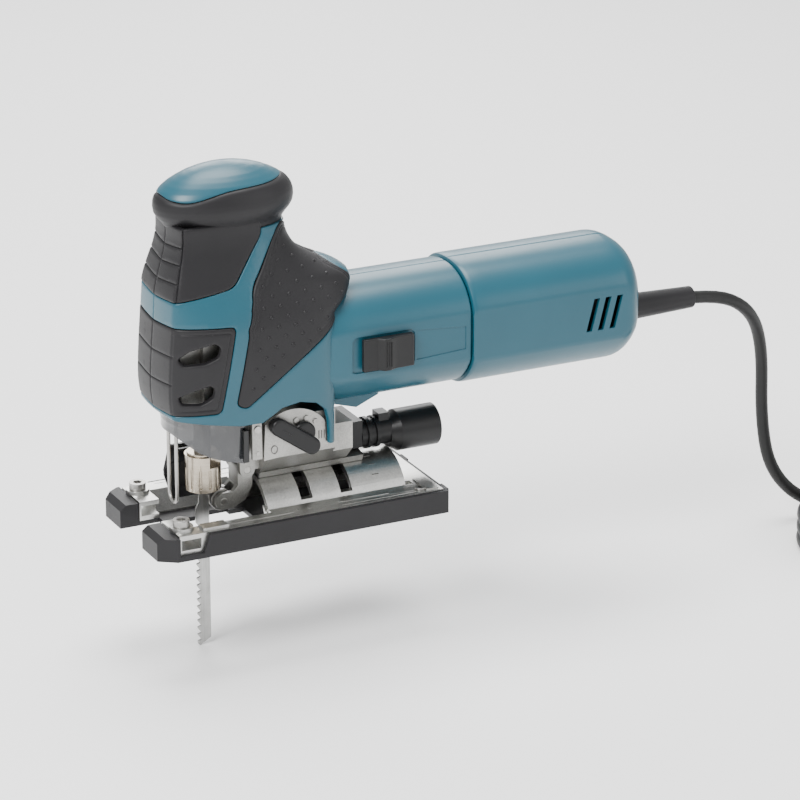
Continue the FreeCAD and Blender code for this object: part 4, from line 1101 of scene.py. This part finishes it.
def cord_points():
    """The cord's points: from the guard down to the floor, round nine turns of a coil, and up over the last
    turn into the plug, which lies on the coil."""
    points = [*CORD_ROUTE]

    def wind(step, radius, level):
        turn = math.radians(FIRST_ANGLE - STEP_ANGLE * step)
        points.append((COIL[0] + radius * math.cos(turn), COIL[1] + radius * math.sin(turn), level))

    # Each turn's radius and layer. The first steps of a turn move over to it.
    turns = [(47, 0), (40, 0), (33, 0), (33, 1), (40, 1), (47, 1), (47, 2), (40, 2), (33, 2)]
    radius, level = 50.6, FIRST_TURN_UP
    for number, (next_radius, layer) in enumerate(turns):
        next_level = FIRST_TURN_UP + CORD_THICKNESS * layer
        ramp = 3 if number == 0 else 6
        for step in range(1, 16):
            share = min(1, step / ramp)
            last_turn = number == len(turns) - 1
            climb = CORD_THICKNESS * float(smooth_step(step, 11, 15)) if last_turn else 0
            wind(step, radius + (next_radius - radius) * share, level + (next_level - level) * share + climb)
        radius, level = next_radius, next_level
    for step in range(1, 6):
        wind(step, 33 + 2.2 * step, -43.1 + 0.6 * step)
    points += [(383, -81.5, -40.1), (377.5, -84.6, -40.1), (370, -85, -40.1)]
    return points


def build_lead():
    """The cord as one round tube along its points, and the plug at its end."""
    curve = bpy.data.curves.new("cord", "CURVE")
    curve.dimensions = "3D"
    line = curve.splines.new("NURBS")
    points = cord_points()
    line.points.add(len(points) - 1)
    for point, place in zip(line.points, points):
        point.co = (*(c * MM for c in place), 1)
    line.order_u = 3
    line.use_endpoint_u = True
    curve.bevel_depth = CORD_THICKNESS / 2 * MM
    curve.bevel_resolution = 5
    curve.resolution_u = 6
    curve.use_fill_caps = True
    curve.materials.append(LEAD)
    piece = bpy.data.objects.new("cord_lead", curve)
    bpy.context.collection.objects.link(piece)
    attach(piece, "housing")
    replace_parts(piece, "cord_tube", "cord_coil")
    plug = rounded("plug", "housing", GRIP, 1.6, 4)


build_lead()

# ---------------------------------------------------------------- light and floor


def build_stage():
    """A pale floor, an even surround and four soft lamps."""
    floor = bpy.data.meshes.new("floor")
    reach = 6
    corners = [(x, y, FLOOR_Z) for x, y in oblong(-reach, reach, -reach, reach)]
    floor.from_pydata(corners, [], [(0, 1, 2, 3)])
    paint = Paint("studio floor")
    shade_of = paint.noise(1.5, 2.0)
    paint.set(Base_Color=paint.mix(shade_of, (0.93, 0.93, 0.93), (0.96, 0.96, 0.96)), Roughness=0.8)
    floor.materials.append(paint.material)
    ground = bpy.data.objects.new("floor", floor)
    bpy.context.collection.objects.link(ground)
    world = bpy.data.worlds.new("studio")
    world.use_nodes = True
    surround = world.node_tree.nodes["Background"].inputs
    surround["Color"].default_value = (1, 1, 1, 1)
    surround["Strength"].default_value = 0.8
    bpy.context.scene.world = world
    target = Vector((0.05, 0, 0.08))
    for name, place, size, power in (
        ("key", (-1.1, -0.7, 1.3), 0.7, 38),
        ("fill", (1.3, -1.4, 0.7), 1.0, 8),
        ("top", (0.2, 0.3, 1.6), 0.9, 34),
        ("back", (0.6, 1.4, 0.9), 0.8, 14),
    ):
        lamp = bpy.data.lights.new(name, "AREA")
        lamp.size = size
        lamp.energy = power
        stand = bpy.data.objects.new(name, lamp)
        stand.location = place
        stand.rotation_euler = (Vector(place) - target).to_track_quat("Z", "Y").to_euler()
        bpy.context.collection.objects.link(stand)


build_stage()
